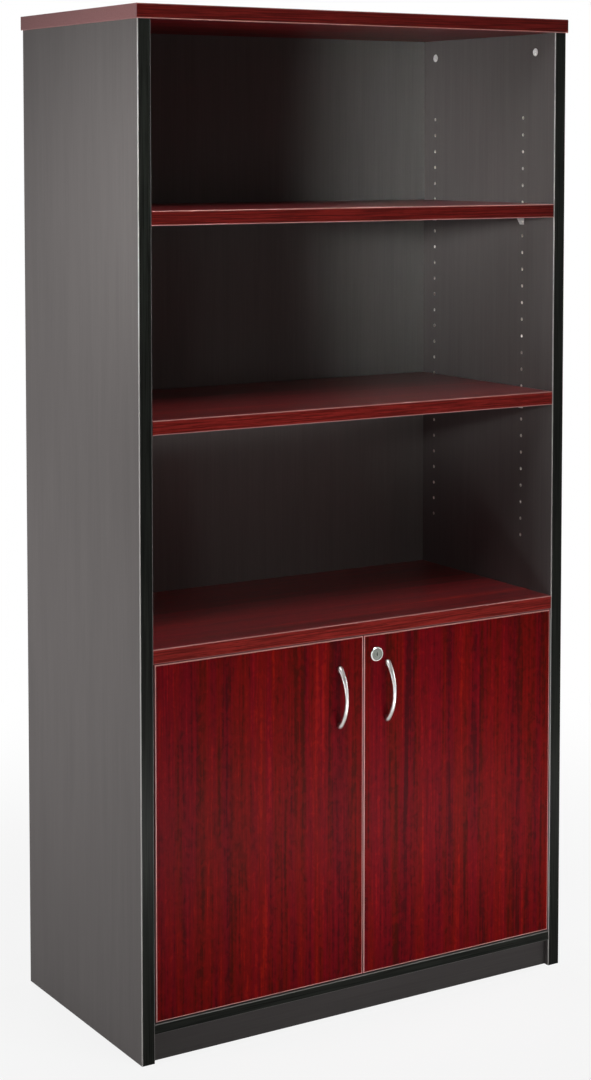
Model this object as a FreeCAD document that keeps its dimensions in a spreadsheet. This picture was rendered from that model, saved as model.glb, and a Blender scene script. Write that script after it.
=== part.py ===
import FreeCAD, Part
import Sketcher
import math
import os
import re

# A bookcase with two loose shelves above a cupboard with two doors.
# X runs to the right as seen from the front, Y to the back and Z up; the origin is on the floor,
# in the middle of the whole piece. All sizes are millimetres.

SIZES = {
    # Carcass boards
    "carcass_width": 900,
    "carcass_depth": 450,
    "overall_height": 1800,
    "side_thickness": 25,
    "top_thickness": 25,
    "top_overhang": 3,
    "fixed_shelf_height": 716,
    "fixed_shelf_thickness": 25,
    "bottom_thickness": 18,
    "back_thickness": 16,
    "back_inset": 12,
    "kickboard_height": 50,
    "kickboard_thickness": 18,
    "kickboard_setback": 12,
    # Edge strips
    "edging_thickness": 2,
    "edging_radius": 1.5,
    # Shelf-pin holes in the side panels
    "hole_radius": 2.5,
    "hole_depth": 13,
    "hole_pitch": 32,
    "hole_front_setback": 96,
    "hole_back_setback": 38,
    "hole_top_drop": 157,
    "bay_hole_count": 26,
    "cupboard_hole_count": 9,
    "cupboard_hole_height": 210,
    "upper_shelf_row": 19,
    "middle_shelf_row": 8,
    "cupboard_shelf_row": 4,
    # Loose shelves and their supports
    "shelf_thickness": 25,
    "shelf_end_gap": 1,
    "shelf_back_gap": 2,
    "cupboard_shelf_setback": 45,
    "support_reach": 12,
    "support_width": 10,
    "support_height": 16,
    "support_foot": 2.5,
    "support_rise": 5.5,
    "support_pin_length": 11,
    # Fits
    "fit_clearance": 0.1,
    "running_clearance": 0.05,
    "overrun": 5,
    # Cam connectors, bolts and dowels
    "cam_radius": 7.5,
    "cam_height": 13,
    "cam_slot_width": 2,
    "cam_slot_length": 9,
    "cam_slot_depth": 2.5,
    "cam_distance": 34,
    "cam_front_setback": 60,
    "connector_depth": 9,
    "connector_radius": 3,
    "connector_thread_radius": 2.5,
    "connector_thread": 11,
    "dowel_radius": 4,
    "dowel_length": 30,
    "dowel_column_gap": 50,
    "back_dowel_spacing": 600,
    "kickboard_dowel_spacing": 300,
    "back_screw_spacing": 280,
    "back_screw_length": 40,
    "back_screw_radius": 2.2,
    "back_screw_head_radius": 4.5,
    "back_screw_head_height": 2.6,
    # Doors
    "door_thickness": 18,
    "door_side_gap": 2.5,
    "door_meeting_gap": 2,
    "door_top_gap": 1.5,
    "door_bottom_gap": 3,
    # Bow handles
    "handle_chord": 106,
    "handle_projection": 27,
    "handle_end_lift": 1.5,
    "handle_end_rounding": 3.4,
    "handle_end_width": 10.2,
    "handle_end_depth": 7.6,
    "handle_foot_radius": 4,
    "handle_middle_width": 6.6,
    "handle_middle_depth": 5.6,
    "handle_hole_spacing": 96,
    "handle_bore_depth": 5,
    "handle_drop": 105,
    "handle_inset": 50,
    "handle_screw_radius": 1.9,
    "handle_screw_head_radius": 4,
    "handle_screw_head_height": 2.4,
    # Hinges
    "hinge_end_distance": 90,
    "cup_edge_distance": 4,
    "cup_radius": 17.5,
    "cup_depth": 12.5,
    "cup_wall": 0.7,
    "cup_flange_radius": 19.5,
    "cup_flange_thickness": 1.2,
    "cup_wing_width": 14,
    "cup_wing_length": 60,
    "cup_screw_spacing": 45,
    "cup_screw_offset": 9.5,
    "hinge_screw_radius": 1.75,
    "hinge_screw_length": 11,
    "hinge_screw_head_radius": 3.4,
    "hinge_screw_head_height": 1.8,
    "hinge_pin_radius": 1.5,
    "hinge_pin_depth": 8.5,
    "knuckle_radius": 2.9,
    "ear_thickness": 3,
    "ear_width": 7,
    "ear_gap": 0.3,
    "arm_width": 14,
    "arm_thickness": 2.4,
    "arm_lead_angle": 40,
    "arm_reach": 26,
    "arm_shoulder": 10,
    "arm_bend_radius": 1,
    "plate_setback": 42,
    "plate_length": 34,
    "plate_height": 5,
    "plate_wing_thickness": 2.5,
    "plate_wing_width": 16,
    "plate_wing_length": 46,
    "plate_screw_spacing": 32,
    # Cam lock
    "lock_inset": 26.7,
    "lock_drop": 36,
    "rosette_radius": 13,
    "rosette_height": 3,
    "rosette_chamfer": 1,
    "rosette_rim": 2,
    "rosette_recess": 0.8,
    "barrel_radius": 9.5,
    "barrel_length": 23,
    "plug_radius": 6,
    "plug_rise": 0.4,
    "plug_tail": 0.3,
    "keyway_width": 1.8,
    "keyway_length": 7.5,
    "keyway_depth": 5,
    "nut_radius": 14,
    "nut_thickness": 4,
    "lock_cam_length": 45,
    "lock_cam_width": 14,
    "lock_cam_thickness": 2.4,
    "strike_width": 22,
    "strike_height": 40,
    "strike_thickness": 3,
    "strike_edge_distance": 4,
    "strike_screw_spacing": 26,
    # Tower bolt
    "bolt_inset": 90,
    "bolt_drop": 6,
    "bolt_plate_width": 24,
    "bolt_plate_length": 70,
    "bolt_plate_thickness": 2,
    "bolt_guide_width": 14,
    "bolt_guide_length": 10,
    "bolt_guide_depth": 11,
    "bolt_guide_margin": 3,
    "bolt_rod_radius": 4,
    "bolt_rod_length": 92,
    "bolt_rod_drop": 1,
    "bolt_rod_height": 5,
    "bolt_throw": 16,
    "bolt_knob_radius": 3,
    "bolt_knob_length": 14,
    "bolt_screw_spacing_across": 17,
    "bolt_screw_spacing_along": 26,
    "keeper_clearance": 0.6,
}

# Places and lengths that follow from the sizes above
PLACES = {
    "front": "-(carcass_depth + top_overhang - handle_projection) / 2",
    "half_width": "carcass_width / 2",
    "top_width": "carcass_width + 2 * top_overhang",
    "top_depth": "carcass_depth + 2 * top_overhang",
    "top_left": "-half_width - top_overhang",
    "top_front": "front - top_overhang",
    "inner_half": "half_width - side_thickness",
    "inner_width": "2 * inner_half",
    "side_height": "overall_height - top_thickness",
    "back_face": "front + carcass_depth - back_inset - back_thickness",
    "back_middle": "back_face + back_thickness / 2",
    "fixed_low": "fixed_shelf_height - fixed_shelf_thickness",
    "fixed_middle": "fixed_shelf_height - fixed_shelf_thickness / 2",
    "bottom_high": "kickboard_height + bottom_thickness",
    "bottom_middle": "kickboard_height + bottom_thickness / 2",
    "kickboard_middle": "front + kickboard_setback + kickboard_thickness / 2",
    "board_front": "front + edging_thickness",
    "board_depth": "back_face - board_front",
    "hole_front": "front + hole_front_setback",
    "hole_back": "back_face - hole_back_setback",
    "hole_high": "side_height - hole_top_drop",
    "hole_low": "hole_high - (bay_hole_count - 1) * hole_pitch",
    "upper_shelf_hole": "hole_low + upper_shelf_row * hole_pitch",
    "middle_shelf_hole": "hole_low + middle_shelf_row * hole_pitch",
    "cupboard_shelf_hole": "cupboard_hole_height + cupboard_shelf_row * hole_pitch",
    "shelf_half": "inner_half - shelf_end_gap",
    "shelf_back": "back_face - shelf_back_gap",
    "cam_front": "front + cam_front_setback",
    "cam_bore_radius": "cam_radius + fit_clearance",
    "cam_bore_depth": "cam_height + fit_clearance",
    "cam_high": "side_height - cam_distance",
    "cam_side": "inner_half - cam_distance",
    "dowel_front": "hole_front + dowel_column_gap",
    "dowel_back": "hole_back - dowel_column_gap",
    "dowel_half": "dowel_length / 2",
    "dowel_bore_radius": "dowel_radius + fit_clearance",
    "dowel_bore_depth": "dowel_half + fit_clearance",
    "door_low": "bottom_high + door_bottom_gap",
    "door_high": "fixed_low - door_top_gap",
    "door_height": "door_high - door_low",
    "door_back": "front + door_thickness",
    "meeting_edge": "door_meeting_gap / 2",
    "door_edge": "inner_half - door_side_gap",
    "door_width": "door_edge - meeting_edge",
    "handle_x": "meeting_edge + handle_inset",
    "handle_z": "door_high - handle_drop",
    "hinge_low": "door_low + hinge_end_distance",
    "hinge_high": "door_high - hinge_end_distance",
    "pin_setback": "door_side_gap + cup_edge_distance + cup_radius",
    "pin_x": "inner_half - pin_setback",
    "pin_y": "door_back - hinge_pin_depth",
    "ear_start": "arm_width / 2 + ear_gap",
    "pin_length": "2 * (ear_start + ear_thickness)",
    "plate_front": "front + plate_setback",
    "plate_middle": "plate_front + plate_length / 2",
    "lock_x": "meeting_edge + lock_inset",
    "lock_z": "door_high - lock_drop",
    "plug_end": "front + barrel_length + plug_tail",
    "strike_x": "meeting_edge + strike_edge_distance",
    "bolt_x": "meeting_edge + bolt_inset",
    "bolt_y": "door_back + bolt_plate_thickness + bolt_rod_height",
    "bolt_plate_low": "door_high - bolt_drop - bolt_plate_length",
    "bolt_guide_low": "bolt_plate_low + bolt_guide_margin",
    "bolt_guide_high": "door_high - bolt_drop - bolt_guide_margin - bolt_guide_length",
    "bolt_knob_z": "bolt_guide_low + bolt_guide_length + bolt_guide_margin + bolt_knob_radius",
    "bolt_rod_high": "door_high - bolt_rod_drop",
}

AXES = {
    "+x": FreeCAD.Vector(1, 0, 0),
    "-x": FreeCAD.Vector(-1, 0, 0),
    "+y": FreeCAD.Vector(0, 1, 0),
    "-y": FreeCAD.Vector(0, -1, 0),
    "+z": FreeCAD.Vector(0, 0, 1),
    "-z": FreeCAD.Vector(0, 0, -1),
}
HANDLE_SECTIONS = 13
HANDLE_TAPER_POWER = 1.5
# How far round each rounded end its sections stand, in degrees
HANDLE_ROUNDING_STEPS = (25, 45, 62, 76, 86)
# A screw's cross slot, as shares of the head's radius and height
SLOT_LENGTH_SHARE = 1.15
SLOT_WIDTH_SHARE = 0.27
SLOT_DEPTH_SHARE = 0.55
NUT_SIDES = 6

doc = FreeCAD.newDocument("Bookcase")
sheet = doc.addObject("Spreadsheet::Sheet", "Sizes")
for row, (alias, number) in enumerate(SIZES.items(), start=1):
    sheet.set("A%d" % row, alias)
    sheet.set("B%d" % row, str(number))
    sheet.setAlias("B%d" % row, alias)


def spell(formula, own_sheet=False):
    """Writes a formula of plain names with the sheet that each name lives in."""
    def owner(match):
        word = match.group()
        if word in SIZES:
            return "Sizes." + word
        if word in PLACES and not own_sheet:
            return "Places." + word
        return word
    return re.sub(r"[a-z]\w*", owner, formula)


places = doc.addObject("Spreadsheet::Sheet", "Places")
for row, (alias, formula) in enumerate(PLACES.items(), start=1):
    places.setAlias("B%d" % row, alias)
for row, (alias, formula) in enumerate(PLACES.items(), start=1):
    places.set("A%d" % row, alias)
    places.set("B%d" % row, "=" + spell(formula, own_sheet=True))
doc.recompute()


def value(formula):
    """The number that a formula of plain names comes to."""
    return float(sheet.evalExpression(spell(formula)))


def bind(thing, **formulas):
    for name, formula in formulas.items():
        thing.setExpression(name, spell(formula))


def stand(thing, x, y, z):
    """Ties the place of a thing to formulas."""
    for axis, formula in zip("xyz", (x, y, z)):
        thing.setExpression("Placement.Base." + axis, spell(formula))


def turn(thing, outward, across=None):
    """Turns a thing so that its own Z points outward, and its own X across where that is given."""
    if across is None:
        rotation = FreeCAD.Rotation(AXES["+z"], AXES[outward])
    else:
        along = AXES[outward].cross(AXES[across])
        rotation = FreeCAD.Rotation(AXES[across], along, AXES[outward], "ZXY")
    thing.Placement = FreeCAD.Placement(FreeCAD.Vector(), rotation)


def box(label, size, corner):
    """A block of the given X, Y and Z lengths with its least corner at the given place."""
    block = doc.addObject("Part::Box", label)
    bind(block, Length=size[0], Width=size[1], Height=size[2])
    stand(block, *corner)
    return block


def rod(label, radius, length, start, direction):
    """A round bar from a starting point along one of the axes."""
    bar = doc.addObject("Part::Cylinder", label)
    bind(bar, Radius=radius, Height=length)
    turn(bar, direction)
    stand(bar, *start)
    return bar


def together(label, things):
    """Several separate solids under one name."""
    group = doc.addObject("Part::Compound", label)
    group.Links = things
    return group


def fused(label, things):
    joined = doc.addObject("Part::MultiFuse", label)
    joined.Shapes = things
    return joined


def cut(label, base, tools):
    """What is left of a solid after a list of tools is taken away."""
    result = doc.addObject("Part::Cut", label)
    result.Base = base
    result.Tool = together(label + "_tools", tools)
    return result


def mirrored(label, source):
    """The right-hand twin of a left-hand piece."""
    twin = doc.addObject("Part::Mirroring", label)
    twin.Source = source
    twin.Base = FreeCAD.Vector()
    twin.Normal = AXES["+x"]
    return twin


def copy(master, place, outward, across=None):
    """A further copy of a master piece at a place of its own."""
    link = doc.addObject("App::Link", master.Name + "_copy")
    link.LinkedObject = master
    link.LinkTransform = False
    turn(link, outward, across)
    stand(link, *place)
    return link


def screw(label, radius, length, head_radius, head_height):
    """A cross-slotted pan-head screw: its seat is at the origin, its head above and its shank below."""
    head = rod(label + "_head", head_radius, head_height, ("0", "0", "0"), "+z")
    shank = rod(label + "_shank", radius, length, ("0", "0", "0"), "-z")
    slot_length = "(%s * %s)" % (SLOT_LENGTH_SHARE, head_radius)
    slot_width = "(%s * %s)" % (SLOT_WIDTH_SHARE, head_radius)
    slot_depth = "(%s * %s)" % (SLOT_DEPTH_SHARE, head_height)
    slots = []
    crossed = (("_slot", slot_length, slot_width), ("_cross_slot", slot_width, slot_length))
    for name, size_x, size_y in crossed:
        slots.append(box(label + name, (size_x, size_y, slot_depth + " + overrun"),
                         ("-%s / 2" % size_x, "-%s / 2" % size_y, "%s - %s" % (head_height, slot_depth))))
    return cut(label, fused(label + "_blank", [head, shank]), slots)


def strip(label, size, corner, outer, along):
    """An edge strip with its two outer long edges rounded."""
    body = doc.addObject("PartDesign::Body", label)
    block = body.newObject("PartDesign::AdditiveBox", label + "_block")
    bind(block, Length=size[0], Width=size[1], Height=size[2])
    stand(body, *corner)
    doc.recompute()
    face = max(block.Shape.Faces, key=lambda side: side.CenterOfMass.dot(AXES[outer]))
    edges = []
    for number, edge in enumerate(block.Shape.Edges, start=1):
        on_face = any(edge.isSame(other) for other in face.Edges)
        direction = edge.tangentAt(edge.FirstParameter)
        if on_face and abs(direction.dot(AXES[along])) > abs(direction.cross(AXES[along]).Length):
            edges.append("Edge%d" % number)
    rounding = body.newObject("PartDesign::Fillet", label + "_rounding")
    rounding.Base = (block, edges)
    bind(rounding, Radius="min(edging_radius; edging_thickness - running_clearance)")
    body.Tip = rounding
    return body


def origin_plane(body, role):
    return next(plane for plane in body.Origin.OriginFeatures if plane.Role == role)


def sketch_on(body, role, label):
    sketch = body.newObject("Sketcher::SketchObject", label)
    sketch.AttachmentSupport = [(origin_plane(body, role), "")]
    sketch.MapMode = "FlatFace"
    return sketch


def dimension(sketch, kind, places_in_sketch, formula):
    """Adds one dimension to a sketch and ties it to a formula."""
    number = sketch.addConstraint(Sketcher.Constraint(kind, *places_in_sketch, value(formula)))
    sketch.setExpression("Constraints[%d]" % number, spell(formula))


def draw_rectangle(sketch, width, height):
    """A rectangle with its least corner at the sketch's origin."""
    wide, high = value(width), value(height)
    corners = [(0, 0), (wide, 0), (wide, high), (0, high)]
    points = [FreeCAD.Vector(across, up, 0) for across, up in corners]
    lines = []
    for number, point in enumerate(points):
        lines.append(sketch.addGeometry(Part.LineSegment(point, points[(number + 1) % len(points)])))
    for number, line in enumerate(lines):
        follower = lines[(number + 1) % len(lines)]
        sketch.addConstraint(Sketcher.Constraint("Coincident", line, 2, follower, 1))
        sketch.addConstraint(Sketcher.Constraint("Vertical" if number % 2 else "Horizontal", line))
    sketch.addConstraint(Sketcher.Constraint("Coincident", lines[0], 1, -1, 1))
    dimension(sketch, "DistanceX", (lines[0], 1, lines[0], 2), width)
    dimension(sketch, "DistanceY", (lines[1], 1, lines[1], 2), height)


def draw_circle(sketch, x, y, radius):
    centre = FreeCAD.Vector(value(x), value(y), 0)
    circle = sketch.addGeometry(Part.Circle(centre, AXES["+z"], value(radius)))
    dimension(sketch, "Radius", (circle,), radius)
    dimension(sketch, "DistanceX", (-1, 1, circle, 3), x)
    dimension(sketch, "DistanceY", (-1, 1, circle, 3), y)


ORIGIN = ("0", "0", "0")
CAM_COLUMNS = ("cam_front", "hole_back")
DOWEL_COLUMNS = ("dowel_front", "dowel_back")
PIN_COLUMNS = ("hole_front", "hole_back")
HINGE_HEIGHTS = ("hinge_low", "hinge_high")
# The sign that a side's X places carry, and the way from its inner face into the side panel
SIDES = (("-", "-x", "+x"), ("", "+x", "-x"))
MIDDLE_AND_ENDS = (-1, 0, 1)

# Master fasteners, copied wherever they are needed
dowel = together("dowel", [
    rod("dowel_bar", "dowel_radius", "dowel_length", ("0", "0", "-dowel_half"), "+z"),
])
connector = fused("connector", [
    rod("connector_screw", "connector_thread_radius", "connector_thread", ORIGIN, "+z"),
    rod("connector_shank", "connector_radius", "cam_distance - connector_radius", ORIGIN, "-z"),
])
cam = cut("cam", rod("cam_disc", "cam_radius", "cam_height", ORIGIN, "-z"), [
    box("cam_mouth",
        ("cam_radius + overrun", "2 * (connector_radius + fit_clearance)",
         "2 * (connector_radius + fit_clearance)"),
        ("0", "-connector_radius - fit_clearance", "-connector_depth - connector_radius - fit_clearance")),
    box("cam_slot", ("cam_slot_length", "cam_slot_width", "cam_slot_depth + overrun"),
        ("-cam_slot_length / 2", "-cam_slot_width / 2", "-cam_slot_depth")),
    box("cam_cross_slot", ("cam_slot_width", "cam_slot_length", "cam_slot_depth + overrun"),
        ("-cam_slot_width / 2", "-cam_slot_length / 2", "-cam_slot_depth")),
])
hinge_screw = screw("hinge_screw", "hinge_screw_radius", "hinge_screw_length",
                    "hinge_screw_head_radius", "hinge_screw_head_height")
handle_screw = screw("handle_screw", "handle_screw_radius",
                     "door_thickness + handle_bore_depth - fit_clearance",
                     "handle_screw_head_radius", "handle_screw_head_height")
back_screw = screw("back_screw", "back_screw_radius", "back_screw_length",
                   "back_screw_head_radius", "back_screw_head_height")


def dowel_bore(label, place, direction):
    return rod(label, "dowel_bore_radius", "dowel_bore_depth", place, direction)


def cam_bore(label, place, direction):
    return rod(label, "cam_bore_radius", "cam_bore_depth", place, direction)


def connector_bore(label, place, direction):
    return rod(label, "connector_radius + fit_clearance", "cam_distance", place, direction)


def thread_bore(label, place, direction):
    return rod(label, "connector_thread_radius + fit_clearance", "connector_thread + fit_clearance",
               place, direction)


def hinge_screw_bore(label, place, direction):
    return rod(label, "hinge_screw_radius + fit_clearance", "hinge_screw_length + fit_clearance",
               place, direction)


def pin_holes(body, label, low, count):
    """Two columns of shelf-pin holes sunk into the inner face of a side board."""
    sketch = sketch_on(body, "YZ_Plane", label)
    for column in PIN_COLUMNS:
        draw_circle(sketch, column + " - board_front", low, "hole_radius")
    doc.recompute()
    volume = body.Shape.Volume
    pocket = body.newObject("PartDesign::Pocket", label + "_pocket")
    pocket.Profile = sketch
    bind(pocket, Length="hole_depth")
    doc.recompute()
    if pocket.Shape.Volume >= volume:
        raise RuntimeError(label + " cuts nothing")
    pattern = body.newObject("PartDesign::LinearPattern", label + "_column")
    pattern.Originals = [pocket]
    pattern.Direction = (sketch, ["V_Axis"])
    bind(pattern, Length="(%s - 1) * hole_pitch" % count, Occurrences=count)
    body.Tip = pattern
    doc.recompute()


def left_side_panel():
    """The left side: its board with the shelf-pin holes, then the bores of its fittings."""
    board = doc.addObject("PartDesign::Body", "left_side_board")
    outline = sketch_on(board, "YZ_Plane", "left_side_outline")
    draw_rectangle(outline, "carcass_depth - edging_thickness", "side_height")
    pad = board.newObject("PartDesign::Pad", "left_side_pad")
    pad.Profile = outline
    pad.Reversed = True
    bind(pad, Length="side_thickness")
    stand(board, "-inner_half", "board_front", "0")
    doc.recompute()
    pin_holes(board, "bay_holes", "hole_low", "bay_hole_count")
    pin_holes(board, "cupboard_holes", "cupboard_hole_height", "cupboard_hole_count")
    bores = []
    for column in CAM_COLUMNS:
        bores.append(cam_bore("side_cam_bore", ("-inner_half", column, "cam_high"), "-x"))
        bores.append(connector_bore("side_top_bore",
                                    ("-inner_half - connector_depth", column, "side_height"), "-z"))
        for height in ("fixed_low", "kickboard_height"):
            bores.append(thread_bore("side_thread_bore",
                                     ("-inner_half", column, height + " + connector_depth"), "-x"))
    for column in DOWEL_COLUMNS:
        bores.append(dowel_bore("side_top_dowel_bore",
                                ("-inner_half - side_thickness / 2", column, "side_height"), "-z"))
        for height in ("fixed_middle", "bottom_middle"):
            bores.append(dowel_bore("side_dowel_bore", ("-inner_half", column, height), "-x"))
    for step in MIDDLE_AND_ENDS:
        height = "side_height / 2 + %d * back_dowel_spacing" % step
        bores.append(dowel_bore("side_back_dowel_bore", ("-inner_half", "back_middle", height), "-x"))
    for height in HINGE_HEIGHTS:
        for step in MIDDLE_AND_ENDS:
            place = ("-inner_half", "plate_middle", "%s + %d * plate_screw_spacing / 2" % (height, step))
            bores.append(hinge_screw_bore("side_hinge_bore", place, "-x"))
    return cut("left_side_panel", board, bores)


def end_bores(label, low, middle):
    """Bores at both ends of a shelf that cams and dowels hold between the side panels."""
    bores = []
    for sign, outward, inward in SIDES:
        for column in CAM_COLUMNS:
            bores.append(cam_bore(label + "_cam_bore", (sign + "cam_side", column, low), "+z"))
            place = (sign + "inner_half", column, low + " + connector_depth")
            bores.append(connector_bore(label + "_connector_bore", place, inward))
        for column in DOWEL_COLUMNS:
            bores.append(dowel_bore(label + "_dowel_bore", (sign + "inner_half", column, middle), inward))
    for step in MIDDLE_AND_ENDS:
        bores.append(rod(label + "_screw_bore", "back_screw_radius + fit_clearance",
                         "back_screw_length - back_thickness + fit_clearance",
                         ("%d * back_screw_spacing" % step, "back_face", middle), "-y"))
    return bores


def end_connectors(label, low):
    """Cams and bolts at both ends of a shelf."""
    cams = []
    connectors = []
    for sign, outward, inward in SIDES:
        for column in CAM_COLUMNS:
            cams.append(copy(cam, (sign + "cam_side", column, low), "-z", outward))
            place = (sign + "inner_half", column, low + " + connector_depth")
            connectors.append(copy(connector, place, outward))
    return [together(label + "_cams", cams), together(label + "_bolts", connectors)]


def carcass():
    """Boards, strips and joint fittings of the standing case."""
    left_panel = left_side_panel()
    left_strip = strip("left_side_edging", ("side_thickness", "edging_thickness", "side_height"),
                       ("-half_width", "front", "0"), "-y", "+z")
    nodes = [left_panel, mirrored("right_side_panel", left_panel),
             left_strip, mirrored("right_side_edging", left_strip)]
    nodes += top() + fixed_shelf() + bottom() + back()
    return nodes + joint_fittings()


def top():
    """The top board, overhanging the case all round, with a strip on each edge."""
    board_width = "top_width - 2 * edging_thickness"
    board_depth = "top_depth - 2 * edging_thickness"
    board_left = "top_left + edging_thickness"
    board_front = "top_front + edging_thickness"
    board = box("top_board", (board_width, board_depth, "top_thickness"),
                (board_left, board_front, "side_height"))
    bores = []
    for sign, outward, inward in SIDES:
        for column in CAM_COLUMNS:
            place = ("%s(inner_half + connector_depth)" % sign, column, "side_height")
            bores.append(thread_bore("top_thread_bore", place, "+z"))
        for column in DOWEL_COLUMNS:
            place = ("%s(inner_half + side_thickness / 2)" % sign, column, "side_height")
            bores.append(dowel_bore("top_dowel_bore", place, "+z"))
    long_strip = ("top_width", "edging_thickness", "top_thickness")
    short_strip = ("edging_thickness", board_depth, "top_thickness")
    back_line = "top_front + top_depth - edging_thickness"
    right_line = "-top_left - edging_thickness"
    strips = [
        strip("top_front_strip", long_strip, ("top_left", "top_front", "side_height"), "-y", "+x"),
        strip("top_back_strip", long_strip, ("top_left", back_line, "side_height"), "+y", "+x"),
        strip("top_left_strip", short_strip, ("top_left", board_front, "side_height"), "-x", "+y"),
        strip("top_right_strip", short_strip, (right_line, board_front, "side_height"), "+x", "+y"),
    ]
    return [cut("top_panel", board, bores), together("top_edging", strips)]


def fixed_shelf():
    """The shelf over the cupboard, with a hole for the left door's bolt."""
    fixed_board = box("fixed_board", ("inner_width", "board_depth", "fixed_shelf_thickness"),
                      ("-inner_half", "board_front", "fixed_low"))
    keeper = rod("keeper_hole", "bolt_rod_radius + keeper_clearance", "bolt_throw",
                 ("-bolt_x", "bolt_y", "fixed_low"), "+z")
    bores = end_bores("fixed", "fixed_low", "fixed_middle") + [keeper]
    front_strip = strip("fixed_shelf_edging", ("inner_width", "edging_thickness", "fixed_shelf_thickness"),
                        ("-inner_half", "front", "fixed_low"), "-y", "+x")
    return [cut("fixed_shelf", fixed_board, bores), front_strip]


def bottom():
    """The bottom panel and the kickboard under it."""
    bottom_board = box("bottom_board", ("inner_width", "board_depth", "bottom_thickness"),
                       ("-inner_half", "board_front", "kickboard_height"))
    kickboard_board = box("kickboard_board", ("inner_width", "kickboard_thickness", "kickboard_height"),
                          ("-inner_half", "front + kickboard_setback", "0"))
    bottom_bores = end_bores("bottom", "kickboard_height", "bottom_middle")
    kickboard_bores = []
    for step in MIDDLE_AND_ENDS:
        place = ("%d * kickboard_dowel_spacing" % step, "kickboard_middle", "kickboard_height")
        bottom_bores.append(dowel_bore("bottom_kickboard_bore", place, "+z"))
        kickboard_bores.append(dowel_bore("kickboard_bore", place, "-z"))
    front_strip = strip("bottom_panel_edging", ("inner_width", "edging_thickness", "bottom_thickness"),
                        ("-inner_half", "front", "kickboard_height"), "-y", "+x")
    return [cut("bottom_panel", bottom_board, bottom_bores), front_strip,
            cut("kickboard", kickboard_board, kickboard_bores)]


def back():
    """The back panel between the sides, and the screws that hold the shelves to it."""
    back_board = box("back_board", ("inner_width", "back_thickness", "side_height"),
                     ("-inner_half", "back_face", "0"))
    back_bores = []
    screws = []
    for step in MIDDLE_AND_ENDS:
        height = "side_height / 2 + %d * back_dowel_spacing" % step
        for sign, outward, inward in SIDES:
            place = (sign + "inner_half", "back_middle", height)
            back_bores.append(dowel_bore("back_dowel_bore", place, inward))
        for middle in ("fixed_middle", "bottom_middle"):
            place = ("%d * back_screw_spacing" % step, "back_face + back_thickness", middle)
            back_bores.append(rod("back_screw_bore", "back_screw_radius + fit_clearance", "back_thickness",
                                  place, "-y"))
            screws.append(copy(back_screw, place, "+y"))
    return [cut("back_panel", back_board, back_bores), together("back_panel_screws", screws)]


def joint_fittings():
    """The cams, bolts and dowels that hold the boards of the case together."""
    top_cams = []
    top_connectors = []
    dowels = []
    for sign, outward, inward in SIDES:
        for column in CAM_COLUMNS:
            top_cams.append(copy(cam, (sign + "inner_half", column, "cam_high"), inward, "+z"))
            place = ("%s(inner_half + connector_depth)" % sign, column, "side_height")
            top_connectors.append(copy(connector, place, "+z"))
        for column in DOWEL_COLUMNS:
            place = ("%s(inner_half + side_thickness / 2)" % sign, column, "side_height")
            dowels.append(copy(dowel, place, "+z"))
            for middle in ("fixed_middle", "bottom_middle"):
                dowels.append(copy(dowel, (sign + "inner_half", column, middle), outward))
        for step in MIDDLE_AND_ENDS:
            height = "side_height / 2 + %d * back_dowel_spacing" % step
            dowels.append(copy(dowel, (sign + "inner_half", "back_middle", height), outward))
    for step in MIDDLE_AND_ENDS:
        place = ("%d * kickboard_dowel_spacing" % step, "kickboard_middle", "kickboard_height")
        dowels.append(copy(dowel, place, "+z"))
    nodes = [together("top_joint_cams", top_cams), together("top_joint_bolts", top_connectors)]
    nodes += end_connectors("fixed_shelf", "fixed_low")
    nodes += end_connectors("bottom_panel", "kickboard_height")
    nodes.append(together("carcass_dowels", dowels))
    return nodes


def support_master():
    """A shelf support: a pin for the hole, and a tapered bracket with its ledge on top."""
    bracket = doc.addObject("Part::Wedge", "support_bracket")
    bind(bracket, Xmin="0", Xmax="support_foot", X2min="0", X2max="support_reach",
         Ymin="support_rise - support_height", Ymax="support_rise",
         Zmin="-support_width / 2", Zmax="support_width / 2",
         Z2min="-support_width / 2", Z2max="support_width / 2")
    turn(bracket, "-y", "+x")
    pin = rod("support_pin", "hole_radius - running_clearance", "support_pin_length", ORIGIN, "-x")
    return fused("shelf_support", [bracket, pin])


def loose_shelves():
    """Each loose shelf, its front strip and the four supports under it."""
    support = support_master()
    rows = {
        "upper_shelf": ("upper_shelf_hole", "0"),
        "middle_shelf": ("middle_shelf_hole", "0"),
        "cupboard_shelf": ("cupboard_shelf_hole", "cupboard_shelf_setback"),
    }
    nodes = []
    for label, (height, setback) in rows.items():
        low = height + " + support_rise"
        depth = "shelf_back - board_front - " + setback
        nodes.append(box(label, ("2 * shelf_half", depth, "shelf_thickness"),
                         ("-shelf_half", "board_front + " + setback, low)))
        nodes.append(strip(label + "_edging", ("2 * shelf_half", "edging_thickness", "shelf_thickness"),
                           ("-shelf_half", "front + " + setback, low), "-y", "+x"))
        supports = []
        for column in PIN_COLUMNS:
            for sign, outward, inward in SIDES:
                supports.append(copy(support, (sign + "inner_half", column, height), "+z", inward))
        nodes.append(together(label + "_supports", supports))
    return nodes


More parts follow.
